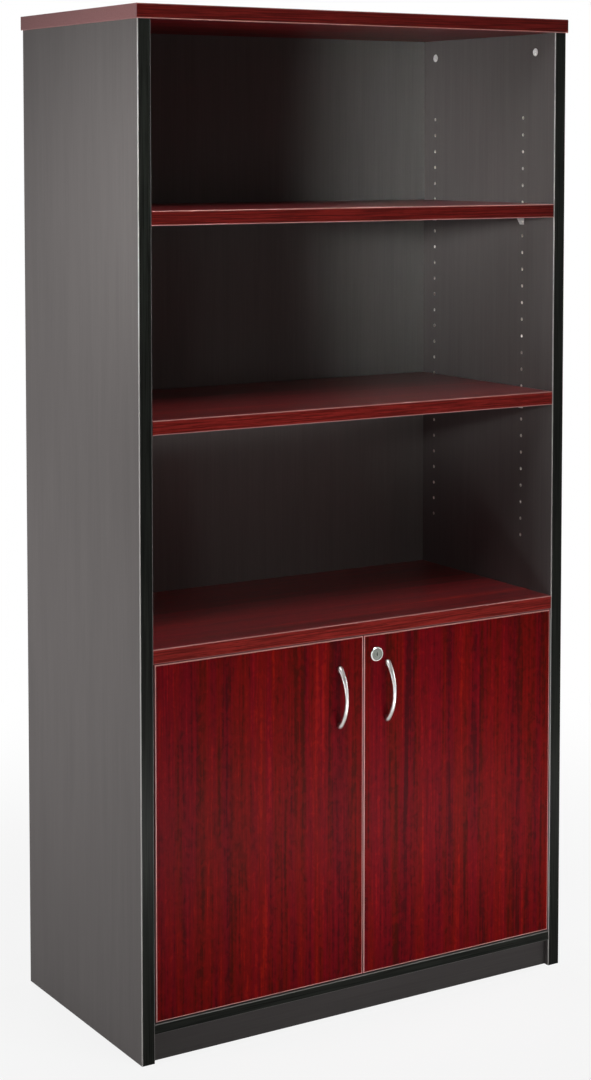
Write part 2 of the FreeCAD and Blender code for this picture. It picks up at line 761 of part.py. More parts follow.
def handle_shape():
    """A bow handle on the door's face: ellipses along an arc, swelling to rounded ends with feet."""
    half_chord = value("handle_chord") / 2
    lift = value("handle_end_lift")
    rise = value("handle_projection - handle_middle_depth / 2") - lift
    radius = (half_chord ** 2 + rise ** 2) / (2 * rise)
    end_angle = math.asin(half_chord / radius)
    centre = FreeCAD.Vector(0, radius - rise - lift, 0)
    stations = []
    for number in range(HANDLE_SECTIONS):
        along = 2 * number / (HANDLE_SECTIONS - 1) - 1
        stations.append((along * end_angle, abs(along) ** HANDLE_TAPER_POWER, 1))
    for degrees in HANDLE_ROUNDING_STEPS:
        round_end = math.radians(degrees)
        angle = end_angle + math.sin(round_end) * value("handle_end_rounding") / radius
        shrink = math.cos(round_end)
        stations = [(-angle, 1, shrink)] + stations + [(angle, 1, shrink)]
    sections = []
    for angle, flare, shrink in stations:
        width = value("handle_middle_width") * (1 - flare) + value("handle_end_width") * flare
        depth = value("handle_middle_depth") * (1 - flare) + value("handle_end_depth") * flare
        outward = FreeCAD.Vector(0, -math.cos(angle), math.sin(angle))
        tangent = AXES["+x"].cross(outward)
        ellipse = Part.Ellipse(FreeCAD.Vector(), shrink * width / 2, shrink * depth / 2).toShape()
        turned = FreeCAD.Rotation(AXES["+x"], outward, tangent, "ZXY")
        ellipse.Placement = FreeCAD.Placement(centre + outward * radius, turned)
        sections.append(Part.Wire([ellipse]))
    feet, bores = [], []
    half_spacing = value("handle_hole_spacing") / 2
    foot_height = math.sqrt(radius ** 2 - half_spacing ** 2) - centre.y
    for sign in (-1, 1):
        foot = FreeCAD.Vector(0, 0, sign * half_spacing)
        feet.append(Part.makeCylinder(value("handle_foot_radius"), foot_height, foot, AXES["-y"]))
        bores.append(Part.makeCylinder(value("handle_screw_radius + fit_clearance"),
                                       value("handle_bore_depth"), foot, AXES["-y"]))
    bow = Part.makeLoft(sections, True).fuse(feet)
    reach = radius + half_chord
    door_side = Part.makeBox(2 * reach, reach, 2 * reach, FreeCAD.Vector(-reach, 0, -reach))
    return bow.cut([door_side] + bores)


def handles():
    """The two bow handles and the screws that hold them from inside the doors."""
    left = doc.addObject("Part::Feature", "left_handle")
    left.Shape = handle_shape()
    stand(left, "-handle_x", "front", "handle_z")
    screws = []
    for sign in "+-":
        place = ("-handle_x", "door_back", "handle_z %s handle_hole_spacing / 2" % sign)
        screws.append(copy(handle_screw, place, "+y"))
    left_screws = together("left_handle_screws", screws)
    return [left, mirrored("right_handle", left), left_screws, mirrored("right_handle_screws", left_screws)]


def arm_shape():
    """A goose-neck hinge arm about its pin: X to the middle of the case, Y to the back."""
    lead = math.radians(value("arm_lead_angle"))
    reach = value("arm_reach")
    half = value("arm_thickness") / 2
    seat = value("plate_height + arm_thickness / 2 - pin_setback")
    path = [
        FreeCAD.Vector(),
        FreeCAD.Vector(reach * math.cos(lead), reach * math.sin(lead), 0),
        FreeCAD.Vector(value("arm_shoulder"), reach, 0),
        FreeCAD.Vector(seat, reach, 0),
        FreeCAD.Vector(seat, value("plate_front + plate_length - pin_y"), 0),
    ]
    normals = []
    for start, end in zip(path, path[1:]):
        normals.append(AXES["+z"].cross(end - start).normalize())
    rims = {1: [], -1: []}
    for number, point in enumerate(path):
        before = normals[max(number - 1, 0)]
        after = normals[min(number, len(normals) - 1)]
        mitre = (before + after) / (1 + before.dot(after))
        for side, rim in rims.items():
            rim.append(point + mitre * half * side)
    outline = rims[1] + rims[-1][::-1]
    face = Part.Face(Part.makePolygon(outline + outline[:1]))
    low = value("-arm_width / 2")
    strap = face.extrude(AXES["+z"] * value("arm_width"))
    bends = []
    for edge in strap.Edges:
        upright = edge.Vertexes[0].Point.sub(edge.Vertexes[-1].Point).cross(AXES["+z"]).Length < half
        corners = rims[1][1:-1] + rims[-1][1:-1]
        middle = edge.CenterOfMass
        at_bend = any(math.hypot(middle.x - corner.x, middle.y - corner.y) < half / 2 for corner in corners)
        if upright and at_bend:
            bends.append(edge)
    strap = strap.makeFillet(min(value("arm_bend_radius"), half), bends)
    strap.translate(AXES["+z"] * low)
    base = AXES["+z"] * low
    knuckle = Part.makeCylinder(value("knuckle_radius"), value("arm_width"), base)
    bore = Part.makeCylinder(value("hinge_pin_radius + running_clearance"), value("arm_width"), base)
    screw_place = FreeCAD.Vector(value("-pin_setback"), value("plate_middle - pin_y"), 0)
    screw_hole = Part.makeCylinder(value("hinge_screw_radius + fit_clearance"), value("pin_setback"),
                                   screw_place, AXES["+x"])
    return strap.fuse(knuckle).removeSplitter().cut(bore).cut(screw_hole)


def cup_master():
    """A hinge cup about the middle of its mouth: shell, flange, screw wing and two ears for the pin."""
    shell_depth = "cup_depth - fit_clearance"
    floor_depth = "cup_depth - fit_clearance - cup_wall"
    solid = fused("cup_solid", [
        rod("cup_outside", "cup_radius - fit_clearance", shell_depth, ORIGIN, "-y"),
        rod("cup_flange", "cup_flange_radius", "cup_flange_thickness", ORIGIN, "+y"),
        box("cup_wing", ("cup_wing_width", "cup_flange_thickness", "cup_wing_length"),
            ("cup_screw_offset - cup_wing_width / 2", "0", "-cup_wing_length / 2")),
    ])
    hollow = [rod("cup_inside", "cup_radius - fit_clearance - cup_wall",
                  floor_depth + " + cup_flange_thickness", ("0", "cup_flange_thickness", "0"), "-y")]
    for sign in "+-":
        place = ("cup_screw_offset", "0", "%scup_screw_spacing / 2" % sign)
        hollow.append(rod("cup_screw_hole", "hinge_screw_radius + fit_clearance", "cup_flange_thickness",
                          place, "+y"))
    pieces = [cut("cup_shell", solid, hollow)]
    ear_size = ("ear_width", floor_depth + " - hinge_pin_depth + ear_width / 2", "ear_thickness")
    for height in ("ear_start", "-ear_start - ear_thickness"):
        pieces.append(box("cup_ear", ear_size, ("-ear_width / 2", "-(%s)" % floor_depth, height)))
    pin_hole = rod("cup_pin_hole", "hinge_pin_radius + running_clearance", "pin_length",
                   ("0", "-hinge_pin_depth", "-pin_length / 2"), "+z")
    return cut("hinge_cup", fused("cup_with_ears", pieces), [pin_hole])


def plate_master():
    """A mounting plate about the middle of its foot: a pedestal for the arm, and a wing for two screws."""
    solid = fused("plate_solid", [
        box("plate_pedestal", ("plate_height", "plate_length", "arm_width"),
            ("0", "-plate_length / 2", "-arm_width / 2")),
        box("plate_wing", ("plate_wing_thickness", "plate_wing_width", "plate_wing_length"),
            ("0", "-plate_wing_width / 2", "-plate_wing_length / 2")),
    ])
    holes = []
    for step in MIDDLE_AND_ENDS:
        holes.append(rod("plate_hole", "hinge_screw_radius + fit_clearance", "plate_height",
                         ("0", "0", "%d * plate_screw_spacing / 2" % step), "+x"))
    return cut("hinge_plate", solid, holes)


def hinges():
    """Two hinges on each door: cups, pins and cup screws ride with it, arms and plates stay on the side."""
    arm = doc.addObject("Part::Feature", "hinge_arm")
    arm.Shape = arm_shape()
    cup = cup_master()
    plate = plate_master()
    pin = together("hinge_pin", [
        rod("hinge_pin_bar", "hinge_pin_radius", "pin_length", ("0", "0", "-pin_length / 2"), "+z"),
    ])
    groups = {"hinge_arms": [], "hinge_plates": [], "hinge_plate_screws": [],
              "hinge_cups": [], "hinge_cup_screws": [], "hinge_pins": []}
    for height in HINGE_HEIGHTS:
        groups["hinge_arms"].append(copy(arm, ("-pin_x", "pin_y", height), "+z", "+x"))
        groups["hinge_plates"].append(copy(plate, ("-inner_half", "plate_middle", height), "+z", "+x"))
        groups["hinge_cups"].append(copy(cup, ("-pin_x", "door_back", height), "+z", "+x"))
        groups["hinge_pins"].append(copy(pin, ("-pin_x", "pin_y", height), "+z", "+x"))
        arm_seat = ("-inner_half + plate_height + arm_thickness", "plate_middle", height)
        groups["hinge_plate_screws"].append(copy(hinge_screw, arm_seat, "+x"))
        for sign in "+-":
            wing_seat = ("-inner_half + plate_wing_thickness", "plate_middle",
                         "%s %s plate_screw_spacing / 2" % (height, sign))
            groups["hinge_plate_screws"].append(copy(hinge_screw, wing_seat, "+x"))
            cup_seat = ("-pin_x + cup_screw_offset", "door_back + cup_flange_thickness",
                        "%s %s cup_screw_spacing / 2" % (height, sign))
            groups["hinge_cup_screws"].append(copy(hinge_screw, cup_seat, "+y"))
    nodes = []
    for label, pieces in groups.items():
        left = together("left_" + label, pieces)
        nodes += [left, mirrored("right_" + label, left)]
    return nodes


def door(label, low_x, sign, further_bores):
    """A door board with its four edge strips, bored for hinges, handle and its own fittings."""
    board_width = "door_width - 2 * edging_thickness"
    board_height = "door_height - 2 * edging_thickness"
    inner_x = low_x + " + edging_thickness"
    right_x = low_x + " + door_width - edging_thickness"
    board = box(label + "_board", (board_width, "door_thickness", board_height),
                (inner_x, "front", "door_low + edging_thickness"))
    inward = "+" if sign == "-" else "-"
    bores = []
    for height in HINGE_HEIGHTS:
        place = (sign + "pin_x", "door_back", height)
        bores.append(rod(label + "_cup_bore", "cup_radius", "cup_depth", place, "-y"))
        for up in "+-":
            place = ("%spin_x %s cup_screw_offset" % (sign, inward), "door_back",
                     "%s %s cup_screw_spacing / 2" % (height, up))
            bores.append(hinge_screw_bore(label + "_cup_screw_bore", place, "-y"))
    for up in "+-":
        place = (sign + "handle_x", "front", "handle_z %s handle_hole_spacing / 2" % up)
        bores.append(rod(label + "_handle_bore", "handle_screw_radius + fit_clearance", "door_thickness",
                         place, "+y"))
    upright = ("edging_thickness", "door_thickness", "door_height")
    level = (board_width, "door_thickness", "edging_thickness")
    strips = [
        strip(label + "_left_strip", upright, (low_x, "front", "door_low"), "-x", "+z"),
        strip(label + "_right_strip", upright, (right_x, "front", "door_low"), "+x", "+z"),
        strip(label + "_low_strip", level, (inner_x, "front", "door_low"), "-z", "+x"),
        strip(label + "_high_strip", level, (inner_x, "front", "door_high - edging_thickness"), "+z", "+x"),
    ]
    return [cut(label + "_panel", board, bores + further_bores), together(label + "_edging", strips)]


def lock():
    """The cam lock of the right door, its cam hanging down, unlocked."""
    rim = doc.addObject("Part::Cone", "rosette_rim")
    bind(rim, Radius1="rosette_radius", Radius2="rosette_radius - rosette_chamfer",
         Height="rosette_chamfer")
    turn(rim, "-y")
    stand(rim, "lock_x", "front - rosette_height + rosette_chamfer", "lock_z")
    centre = ("lock_x", "front", "lock_z")
    shell = fused("lock_shell", [
        rod("lock_rosette", "rosette_radius", "rosette_height - rosette_chamfer", centre, "-y"),
        rim,
        rod("lock_tube", "barrel_radius", "barrel_length", centre, "+y"),
    ])
    face = "front - rosette_height"
    seen = ("lock_x", face, "lock_z")
    barrel = cut("lock_barrel", shell, [
        rod("lock_bore", "plug_radius + running_clearance", "rosette_height + barrel_length", seen, "+y"),
        rod("lock_recess", "rosette_radius - rosette_rim", "rosette_recess", seen, "+y"),
    ])
    hexagon = doc.addObject("Part::Prism", "nut_hexagon")
    hexagon.Polygon = NUT_SIDES
    bind(hexagon, Circumradius="nut_radius", Height="nut_thickness")
    turn(hexagon, "+y")
    stand(hexagon, "lock_x", "door_back", "lock_z")
    nut = cut("lock_nut", hexagon, [rod("nut_bore", "barrel_radius + fit_clearance", "nut_thickness",
                                        ("lock_x", "door_back", "lock_z"), "+y")])
    plug_face = "(%s + rosette_recess - plug_rise)" % face
    plug = cut("lock_plug", rod("plug_bar", "plug_radius", "plug_end - " + plug_face,
                                ("lock_x", plug_face, "lock_z"), "+y"), [
        box("keyway", ("keyway_width", "keyway_depth", "keyway_length"),
            ("lock_x - keyway_width / 2", plug_face, "lock_z - keyway_length / 2")),
        hinge_screw_bore("plug_screw_bore", ("lock_x", "plug_end", "lock_z"), "-y"),
    ])
    tip_drop = "lock_cam_length - lock_cam_width / 2"
    tail = ("lock_x", "plug_end", "lock_z")
    bar = fused("lock_cam_bar", [
        rod("lock_cam_eye", "lock_cam_width / 2", "lock_cam_thickness", tail, "+y"),
        box("lock_cam_strap", ("lock_cam_width", "lock_cam_thickness", tip_drop),
            ("lock_x - lock_cam_width / 2", "plug_end", "lock_z - (%s)" % tip_drop)),
        rod("lock_cam_tip", "lock_cam_width / 2", "lock_cam_thickness",
            ("lock_x", "plug_end", "lock_z - (%s)" % tip_drop), "+y"),
    ])
    cam_hole = rod("lock_cam_hole", "hinge_screw_radius + fit_clearance", "lock_cam_thickness", tail, "+y")
    seat = ("lock_x", "plug_end + lock_cam_thickness", "lock_z")
    return [barrel, nut, plug, cut("lock_cam", bar, [cam_hole]),
            together("lock_cam_screw", [copy(hinge_screw, seat, "+y")])]


def strike_screw_places(depth):
    """Where the strike's two screws meet a plane behind the left door."""
    middle = "-strike_x - strike_width / 2"
    return [(middle, depth, "lock_z %s strike_screw_spacing / 2" % sign) for sign in "+-"]


def strike():
    """The plate behind the left door that the turned lock cam bears on."""
    plate = box("strike_block", ("strike_width", "strike_thickness", "strike_height"),
                ("-strike_x - strike_width", "door_back", "lock_z - strike_height / 2"))
    holes = []
    for place in strike_screw_places("door_back"):
        holes.append(rod("strike_hole", "hinge_screw_radius + fit_clearance", "strike_thickness",
                         place, "+y"))
    for place in strike_screw_places("door_back + strike_thickness"):
        holes.append(rod("strike_head_hole", "hinge_screw_head_radius + fit_clearance",
                         "hinge_screw_head_height", place, "-y"))
    seats = strike_screw_places("door_back + strike_thickness - hinge_screw_head_height")
    return [cut("lock_strike_plate", plate, holes),
            together("lock_strike_screws", [copy(hinge_screw, seat, "+y") for seat in seats])]


def bolt_screw_places(depth):
    """Where the tower bolt's four screws meet a plane behind the left door."""
    middle = "bolt_plate_low + bolt_plate_length / 2"
    return [("-bolt_x %s bolt_screw_spacing_across / 2" % aside, depth,
             "%s %s bolt_screw_spacing_along / 2" % (middle, up)) for aside in "+-" for up in "+-"]


def tower_bolt():
    """The bolt that holds the left door: a plate with two guides, and a rod drawn down."""
    guide_size = ("bolt_guide_width", "bolt_guide_depth", "bolt_guide_length")
    pieces = [box("bolt_plate", ("bolt_plate_width", "bolt_plate_thickness", "bolt_plate_length"),
                  ("-bolt_x - bolt_plate_width / 2", "door_back", "bolt_plate_low"))]
    for height in ("bolt_guide_low", "bolt_guide_high"):
        pieces.append(box("bolt_guide", guide_size,
                          ("-bolt_x - bolt_guide_width / 2", "door_back + bolt_plate_thickness", height)))
    holes = [rod("bolt_bore", "bolt_rod_radius + running_clearance", "bolt_plate_length",
                 ("-bolt_x", "bolt_y", "bolt_plate_low"), "+z")]
    for place in bolt_screw_places("door_back"):
        holes.append(rod("bolt_screw_hole", "hinge_screw_radius + fit_clearance", "bolt_plate_thickness",
                         place, "+y"))
    seats = bolt_screw_places("door_back + bolt_plate_thickness")
    slider = fused("bolt_rod", [
        rod("bolt_bar", "bolt_rod_radius", "bolt_rod_length",
            ("-bolt_x", "bolt_y", "bolt_rod_high - bolt_rod_length"), "+z"),
        rod("bolt_knob", "bolt_knob_radius", "bolt_knob_length",
            ("-bolt_x", "bolt_y", "bolt_knob_z"), "+y"),
    ])
    return [cut("bolt_barrel", fused("bolt_barrel_solid", pieces), holes),
            together("bolt_screws", [copy(hinge_screw, seat, "+y") for seat in seats]), slider]


def doors():
    """Both doors with everything that is fixed to them."""
    left_bores = []
    for place in strike_screw_places("door_back") + bolt_screw_places("door_back"):
        left_bores.append(hinge_screw_bore("left_door_screw_bore", place, "-y"))
    right_bores = [rod("lock_door_bore", "barrel_radius + fit_clearance", "door_thickness",
                       ("lock_x", "front", "lock_z"), "+y")]
    nodes = door("left_door", "-door_edge", "-", left_bores)
    nodes += door("right_door", "meeting_edge", "", right_bores)
    return nodes + handles() + hinges() + lock() + strike() + tower_bolt()


nodes = carcass() + loose_shelves() + doors()
doc.recompute()
for thing in doc.Objects:
    if "Invalid" in thing.State or "Error" in thing.State:
        raise RuntimeError("%s failed: %s" % (thing.Label, thing.State))
for node in nodes:
    if node.Shape.isNull() or not node.Shape.isValid() or not node.Shape.Solids:
        raise RuntimeError("%s has no sound shape" % node.Label)
os.makedirs("parts", exist_ok=True)
for node in nodes:
    node.Shape.exportStep("parts/%s.step" % node.Label)
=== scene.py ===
import math

import bmesh
import bpy
from bpy.props import FloatProperty, FloatVectorProperty, PointerProperty
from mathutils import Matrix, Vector


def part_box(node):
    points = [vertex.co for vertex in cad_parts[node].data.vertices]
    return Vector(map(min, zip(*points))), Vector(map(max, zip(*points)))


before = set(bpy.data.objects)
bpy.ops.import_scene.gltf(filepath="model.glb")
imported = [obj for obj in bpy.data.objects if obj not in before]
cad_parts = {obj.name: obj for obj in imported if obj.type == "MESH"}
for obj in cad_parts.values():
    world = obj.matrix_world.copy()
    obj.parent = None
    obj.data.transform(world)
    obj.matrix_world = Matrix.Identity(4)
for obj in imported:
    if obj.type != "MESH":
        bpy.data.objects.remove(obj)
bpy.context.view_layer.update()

bl_info = {
    "name": "Bookcase with cupboard doors",
    "version": (1, 0, 0),
    "blender": (4, 5, 0),
    "location": "View3D > Sidebar > Bookcase",
    "description": "Gives a bookcase's boards, strips and fittings their finishes and sets a studio round it",
    "category": "3D View",
}

AXES = "xyz"
# The tone, higher on the fixed and the middle shelf as painted light, the share of painted grey sheen that
# stands in for reflections at grazing angles, and the gloss of each red board that lies flat
SHELF_BOARDS = {
    "top_panel": (1.5, 0.04, 0.08),
    "fixed_shelf": (2.6, 0.14, 0.95),
    "upper_shelf": (1.5, 0.09, 0.40),
    "middle_shelf": (1.9, 0.09, 0.85),
    "cupboard_shelf": (1.5, 0.09, 0.40),
}
SHELF_ROUGHNESS = 0.32
# The same for the doors
DOOR_BOARDS = {
    "left_door_panel": (1.0, 0.0, 0.012),
    "right_door_panel": (1.0, 0.0, 0.012),
}
DOOR_ROUGHNESS = 0.36
# The way that the grain runs on each grey board, its colour and its tone; the kickboard's low tone is painted
# shade and the back's lighter grey is painted light
GRAPHITE_BOARDS = {
    "left_side_panel": ("z", "graphite", 1.0),
    "right_side_panel": ("z", "graphite", 1.0),
    "back_panel": ("z", "back_grey_with_painted_light", 1.0),
    # Painted shade: the kickboard is the same graphite board as the sides, darkened
    "kickboard": ("x", "graphite", 0.52),
    "bottom_panel": ("x", "graphite", 1.0),
}
# Each strip's tone, which differs from strip to strip as painted light and shade, the way that it runs, the
# axis across which its two rounded edges lie, and how strongly its lower and its upper edge on that axis are
# paler, partly as scraped wear and partly as a painted highlight where the light catches them
MAHOGANY_STRIPS = {
    "top_edging": (0.82, "x", "z", 1.0, 0.25),
    "fixed_shelf_edging": (1.65, "x", "z", 0.25, 1.0),
    "upper_shelf_edging": (0.95, "x", "z", 1.0, 1.0),
    "middle_shelf_edging": (1.8, "x", "z", 1.0, 1.0),
    "cupboard_shelf_edging": (1.2, "x", "z", 1.0, 1.0),
    "left_door_edging": (1.9, "z", "y", 1.0, 0.6),
    "right_door_edging": (1.9, "z", "y", 1.0, 0.6),
}
# The same for the black strips: their tones are painted light and shade, their pale roundings scraped wear
# and a painted highlight
GRAPHITE_STRIPS = {
    "left_side_edging": (1.0, "z", "x", 1.0, 0.45),
    "right_side_edging": (0.9, "z", "x", 1.0, 0.2),
    "bottom_panel_edging": (1.1, "x", "z", 0.2, 0.5),
}
# Each metal's colour and roughness, the way that its drawn lines run, their depth and number
# in a metre, and its metallic share
METALS = {
    "satin_chrome": ("chrome", 0.28, "z", 0.00001, 2500.0, 1.0),
    "plated_steel": ("steel", 0.30, "y", 0.00001, 1800.0, 1.0),
    "cast_zinc": ("zinc", 0.42, "x", 0.00004, 900.0, 0.05),
}
HANDLES = ("left_handle", "right_handle")
LOCK_FACES = ("lock_barrel", "lock_plug")
CAMS = ("top_joint_cams", "fixed_shelf_cams", "bottom_panel_cams")
JOINT_BOLTS = ("top_joint_bolts", "fixed_shelf_bolts", "bottom_panel_bolts")
SUPPORTS = ("upper_shelf_supports", "middle_shelf_supports", "cupboard_shelf_supports")
STEEL_FITTINGS = (
    "left_hinge_arms", "right_hinge_arms", "left_hinge_plates", "right_hinge_plates",
    "left_hinge_cups", "right_hinge_cups", "left_hinge_pins", "right_hinge_pins",
    "bolt_barrel", "bolt_rod", "lock_strike_plate", "lock_nut", "lock_cam",
)
SCREWS = (
    "back_panel_screws", "left_hinge_plate_screws", "right_hinge_plate_screws",
    "left_hinge_cup_screws", "right_hinge_cup_screws", "left_handle_screws",
    "right_handle_screws", "bolt_screws", "lock_strike_screws", "lock_cam_screw",
)


def colour_property(name, description, default):
    """A colour that can be set in the panel."""
    return FloatVectorProperty(name=name, description=description, subtype="COLOR", size=3,
                               min=0.0, max=1.0, default=default)


class BoardFinish(bpy.types.PropertyGroup):
    """Colours of the boards and their edge strips."""
    mahogany_dark: colour_property(
        "Mahogany dark streak", "The darkest stripes of the red boards", (0.052, 0.0032, 0.0029))
    mahogany_red: colour_property(
        "Mahogany red", "The ground colour of the red boards", (0.148, 0.0030, 0.0044))
    mahogany_bright: colour_property(
        "Mahogany bright streak", "The lightest stripes of the red boards", (0.265, 0.0072, 0.0050))
    mahogany_strip: colour_property(
        "Mahogany strip", "The edge strips of the red boards", (0.120, 0.010, 0.008))
    # The paler roundings of the red strips are partly scraped wear and partly a painted highlight
    mahogany_arris_wear_and_highlight: colour_property(
        "Mahogany arris", "The scraped, paler rounding of the red strips", (0.640, 0.320, 0.300))
    # The ends of the top are paler from a painted sheen
    mahogany_end_sheen: colour_property(
        "Mahogany end", "The sheen_painted ends of the top", (0.270, 0.130, 0.130))
    # The shelves' grey is a painted sheen, standing in for reflections at grazing angles
    painted_sheen: colour_property(
        "Shelf haze", "The grey painted_reflection on the shelves", (0.130, 0.120, 0.125))
    graphite: colour_property(
        "Graphite", "The satin grey of the sides, the bottom and the kickboard", (0.124, 0.113, 0.111))
    # The back's grey is lighter than the sides' graphite as painted light
    back_grey_with_painted_light: colour_property(
        "Back grey", "The cooler grey of the back", (0.184, 0.184, 0.174))
    graphite_strip: colour_property(
        "Black strip", "The edge strips of the grey boards", (0.011, 0.012, 0.010))
    # The greyer roundings of the black strips are partly scraped wear and partly a painted highlight
    graphite_arris_wear_and_highlight: colour_property(
        "Black arris", "The scraped rounding of the black strips", (0.520, 0.500, 0.485))
    core: colour_property(
        "Board core", "The bare chipboard inside the bored holes", (0.930, 0.900, 0.840))


class FittingFinish(bpy.types.PropertyGroup):
    """Colours of the metal, plastic and beech fittings."""
    chrome: colour_property("Satin chrome", "The handles and the lock's rim", (0.640, 0.620, 0.600))
    # The lock's face is darkened as a painted reflection of a dark surround
    lock_face_painted_reflection: colour_property("Lock face", "The duller face inside the lock's rim", (0.165, 0.175, 0.158))
    steel: colour_property("Plated steel", "Hinges, bolt, screws and plates", (0.600, 0.585, 0.560))
    zinc: colour_property("Cast zinc", "The cams of the board joints", (0.960, 0.960, 0.950))
    plastic: colour_property("Support plastic", "The shelf supports", (0.900, 0.900, 0.890))
    beech: colour_property("Beech", "The dowels of the board joints", (0.540, 0.360, 0.190))


class Studio(bpy.types.PropertyGroup):
    """Camera, lamps and floor."""
    camera_place: FloatVectorProperty(
        name="Camera place", description="Where the camera stands", subtype="XYZ", unit="LENGTH",
        default=(-2.1184, -3.4101, 1.5611))
    camera_turn: FloatProperty(
        name="Camera turn", description="How far right of the back it looks", subtype="ANGLE",
        default=math.radians(31.706))
    camera_tilt: FloatProperty(
        name="Camera tilt", description="How far down it looks", subtype="ANGLE",
        default=math.radians(3.788))
    camera_lens: FloatProperty(
        name="Camera lens", description="Focal length in millimetres", default=72.29)
    camera_shift: FloatProperty(
        name="Camera shift", description="Vertical shift of the lens", default=-0.23)
    top_lamp: FloatProperty(
        name="Top lamp", description="Power of the lamp above the front", subtype="POWER", default=26.0)
    left_lamp: FloatProperty(
        name="Left lamp", description="Power of the lamp at the left side", subtype="POWER", default=8.3)
    right_lamp: FloatProperty(
        name="Right lamp", description="Power of the lamp at the right side", subtype="POWER", default=10.5)
    rear_lamp: FloatProperty(
        name="Rear lamp", description="Power of the lamp behind", subtype="POWER", default=30.0)
    floor_lamp: FloatProperty(
        name="Floor lamp", description="Power of the low lamp in front", subtype="POWER", default=4.0)
    shelf_lamp: FloatProperty(
        name="Shelf lamp", description="Power of the lamp on the open shelves", subtype="POWER", default=1.5)
    near_lamp: FloatProperty(
        name="Near lamp", description="Power of the weak lamp beside the camera", subtype="POWER",
        default=0.16)
    ambient: FloatProperty(
        name="Ambient", description="Brightness of the room's even light", default=0.014)
    floor: colour_property("Floor", "The pale floor", (0.820, 0.820, 0.820))


# Node tools

# The colour sockets of a mix node
MIX_FIRST, MIX_SECOND, MIX_RESULT = 6, 7, 2
STREAK_ROUGHNESS = 0.55
# Between these, most of the values of even noise and of streaks
NOISE_RANGE = (0.3, 0.7)
STREAK_RANGE = (0.35, 0.65)


def feed(tree, socket, given):
    """Links a socket to another one or sets its value."""
    if isinstance(given, bpy.types.NodeSocket):
        tree.links.new(given, socket)
    else:
        socket.default_value = given


def add_node(tree, kind, sockets=None, **settings):
    """Adds a node, sets its settings, and gives its sockets values or links."""
    node = tree.nodes.new(kind)
    for name, setting in settings.items():
        setattr(node, name, setting)
    for key, given in (sockets or {}).items():
        feed(tree, node.inputs[key], given)
    return node


def calculate(tree, operation, first, second=0.0, third=0.0):
    """The result of one operation on values."""
    node = add_node(tree, "ShaderNodeMath", {0: first, 1: second, 2: third}, operation=operation)
    return node.outputs[0]


def weighted_sum(tree, values, shares):
    """The sum of values, each times its share."""
    total = 0.0
    for given, share in zip(values, shares):
        total = calculate(tree, "MULTIPLY_ADD", given, share, total)
    return total


def on_vectors(tree, operation, first, second=(0.0, 0.0, 0.0)):
    """The result of one operation on vectors, which is a value for LENGTH."""
    node = add_node(tree, "ShaderNodeVectorMath", {0: first, 1: second}, operation=operation)
    return node.outputs["Value" if operation == "LENGTH" else "Vector"]


def axes_of(tree, vector):
    """The three parts of a vector."""
    return add_node(tree, "ShaderNodeSeparateXYZ", {0: vector}).outputs


def rescale(tree, given, low, high, to_low=0.0, to_high=1.0):
    """Spreads a range of values smoothly over another one."""
    node = add_node(tree, "ShaderNodeMapRange",
                    {"Value": given, "From Min": low, "From Max": high, "To Min": to_low, "To Max": to_high},
                    interpolation_type="SMOOTHSTEP")
    return node.outputs["Result"]


def mix_colours(tree, factor, first, second, blend_type="MIX"):
    """Two colours, each a socket or three channels, mixed by a share."""
    node = add_node(tree, "ShaderNodeMix", {"Factor": factor}, data_type="RGBA", blend_type=blend_type)
    for number, given in ((MIX_FIRST, first), (MIX_SECOND, second)):
        linked = isinstance(given, bpy.types.NodeSocket)
        feed(tree, node.inputs[number], given if linked else (*given, 1.0))
    return node.outputs[MIX_RESULT]


def scaled(colour, share):
    """A colour made darker or brighter."""
    return [share * channel for channel in colour]


def place_on_piece(tree):
    """Where a point lies on its piece, in metres."""
    return add_node(tree, "ShaderNodeTexCoord").outputs["Object"]


def streaks(tree, along, across_per_metre, along_per_metre, detail, distortion=0.0, offset=0.0):
    """Noise drawn out along one axis: a value round 0.5."""
    scale = [across_per_metre] * 3
    scale[AXES.index(along)] = along_per_metre
    mapping = add_node(tree, "ShaderNodeMapping",
                       {"Vector": place_on_piece(tree), "Location": (offset, offset, offset), "Scale": scale})
    noise = add_node(tree, "ShaderNodeTexNoise",
                     {"Vector": mapping.outputs["Vector"], "Scale": 1.0, "Detail": detail,
                      "Roughness": STREAK_ROUGHNESS, "Distortion": distortion})
    return noise.outputs["Fac"]


def speckles(tree, per_metre, detail):
    """Even noise: a value round 0.5."""
    noise = add_node(tree, "ShaderNodeTexNoise",
                     {"Vector": place_on_piece(tree), "Scale": per_metre, "Detail": detail})
    return noise.outputs["Fac"]


def start_material(name):
    """A new material, its node tree and its shader."""
    material = bpy.data.materials.new(name)
    material.use_nodes = True
    tree = material.node_tree
    tree.nodes.clear()
    shader = add_node(tree, "ShaderNodeBsdfPrincipled")
    output = add_node(tree, "ShaderNodeOutputMaterial")
    tree.links.new(shader.outputs["BSDF"], output.inputs["Surface"])
    return material, tree, shader


def set_shader(tree, shader, **given):
    """Sets or links the shader's sockets, named with underscores for spaces."""
    for name, setting in given.items():
        feed(tree, shader.inputs[name.replace("_", " ")], setting)


def add_bump(tree, shader, height, distance, strength):
    """Gives a surface a fine relief."""
    bump = add_node(tree, "ShaderNodeBump", {"Height": height, "Distance": distance, "Strength": strength})
    tree.links.new(bump.outputs["Normal"], shader.inputs["Normal"])


def dress(nodes, material):
    """Gives pieces one material all over."""
    for node in nodes:
        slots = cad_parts[node].data.materials
        slots.clear()
        slots.append(material)


# Bare board inside the bores

BOARD_SKIN = 0.0002
CHIPS_PER_METRE, CHIP_DETAIL = 900.0, 3.0
# The dullest wood as a share of the core's colour, and how near to that colour the chips come
DULL_CORE = 0.6
CHIP_SHADES = (0.75, 1.0)
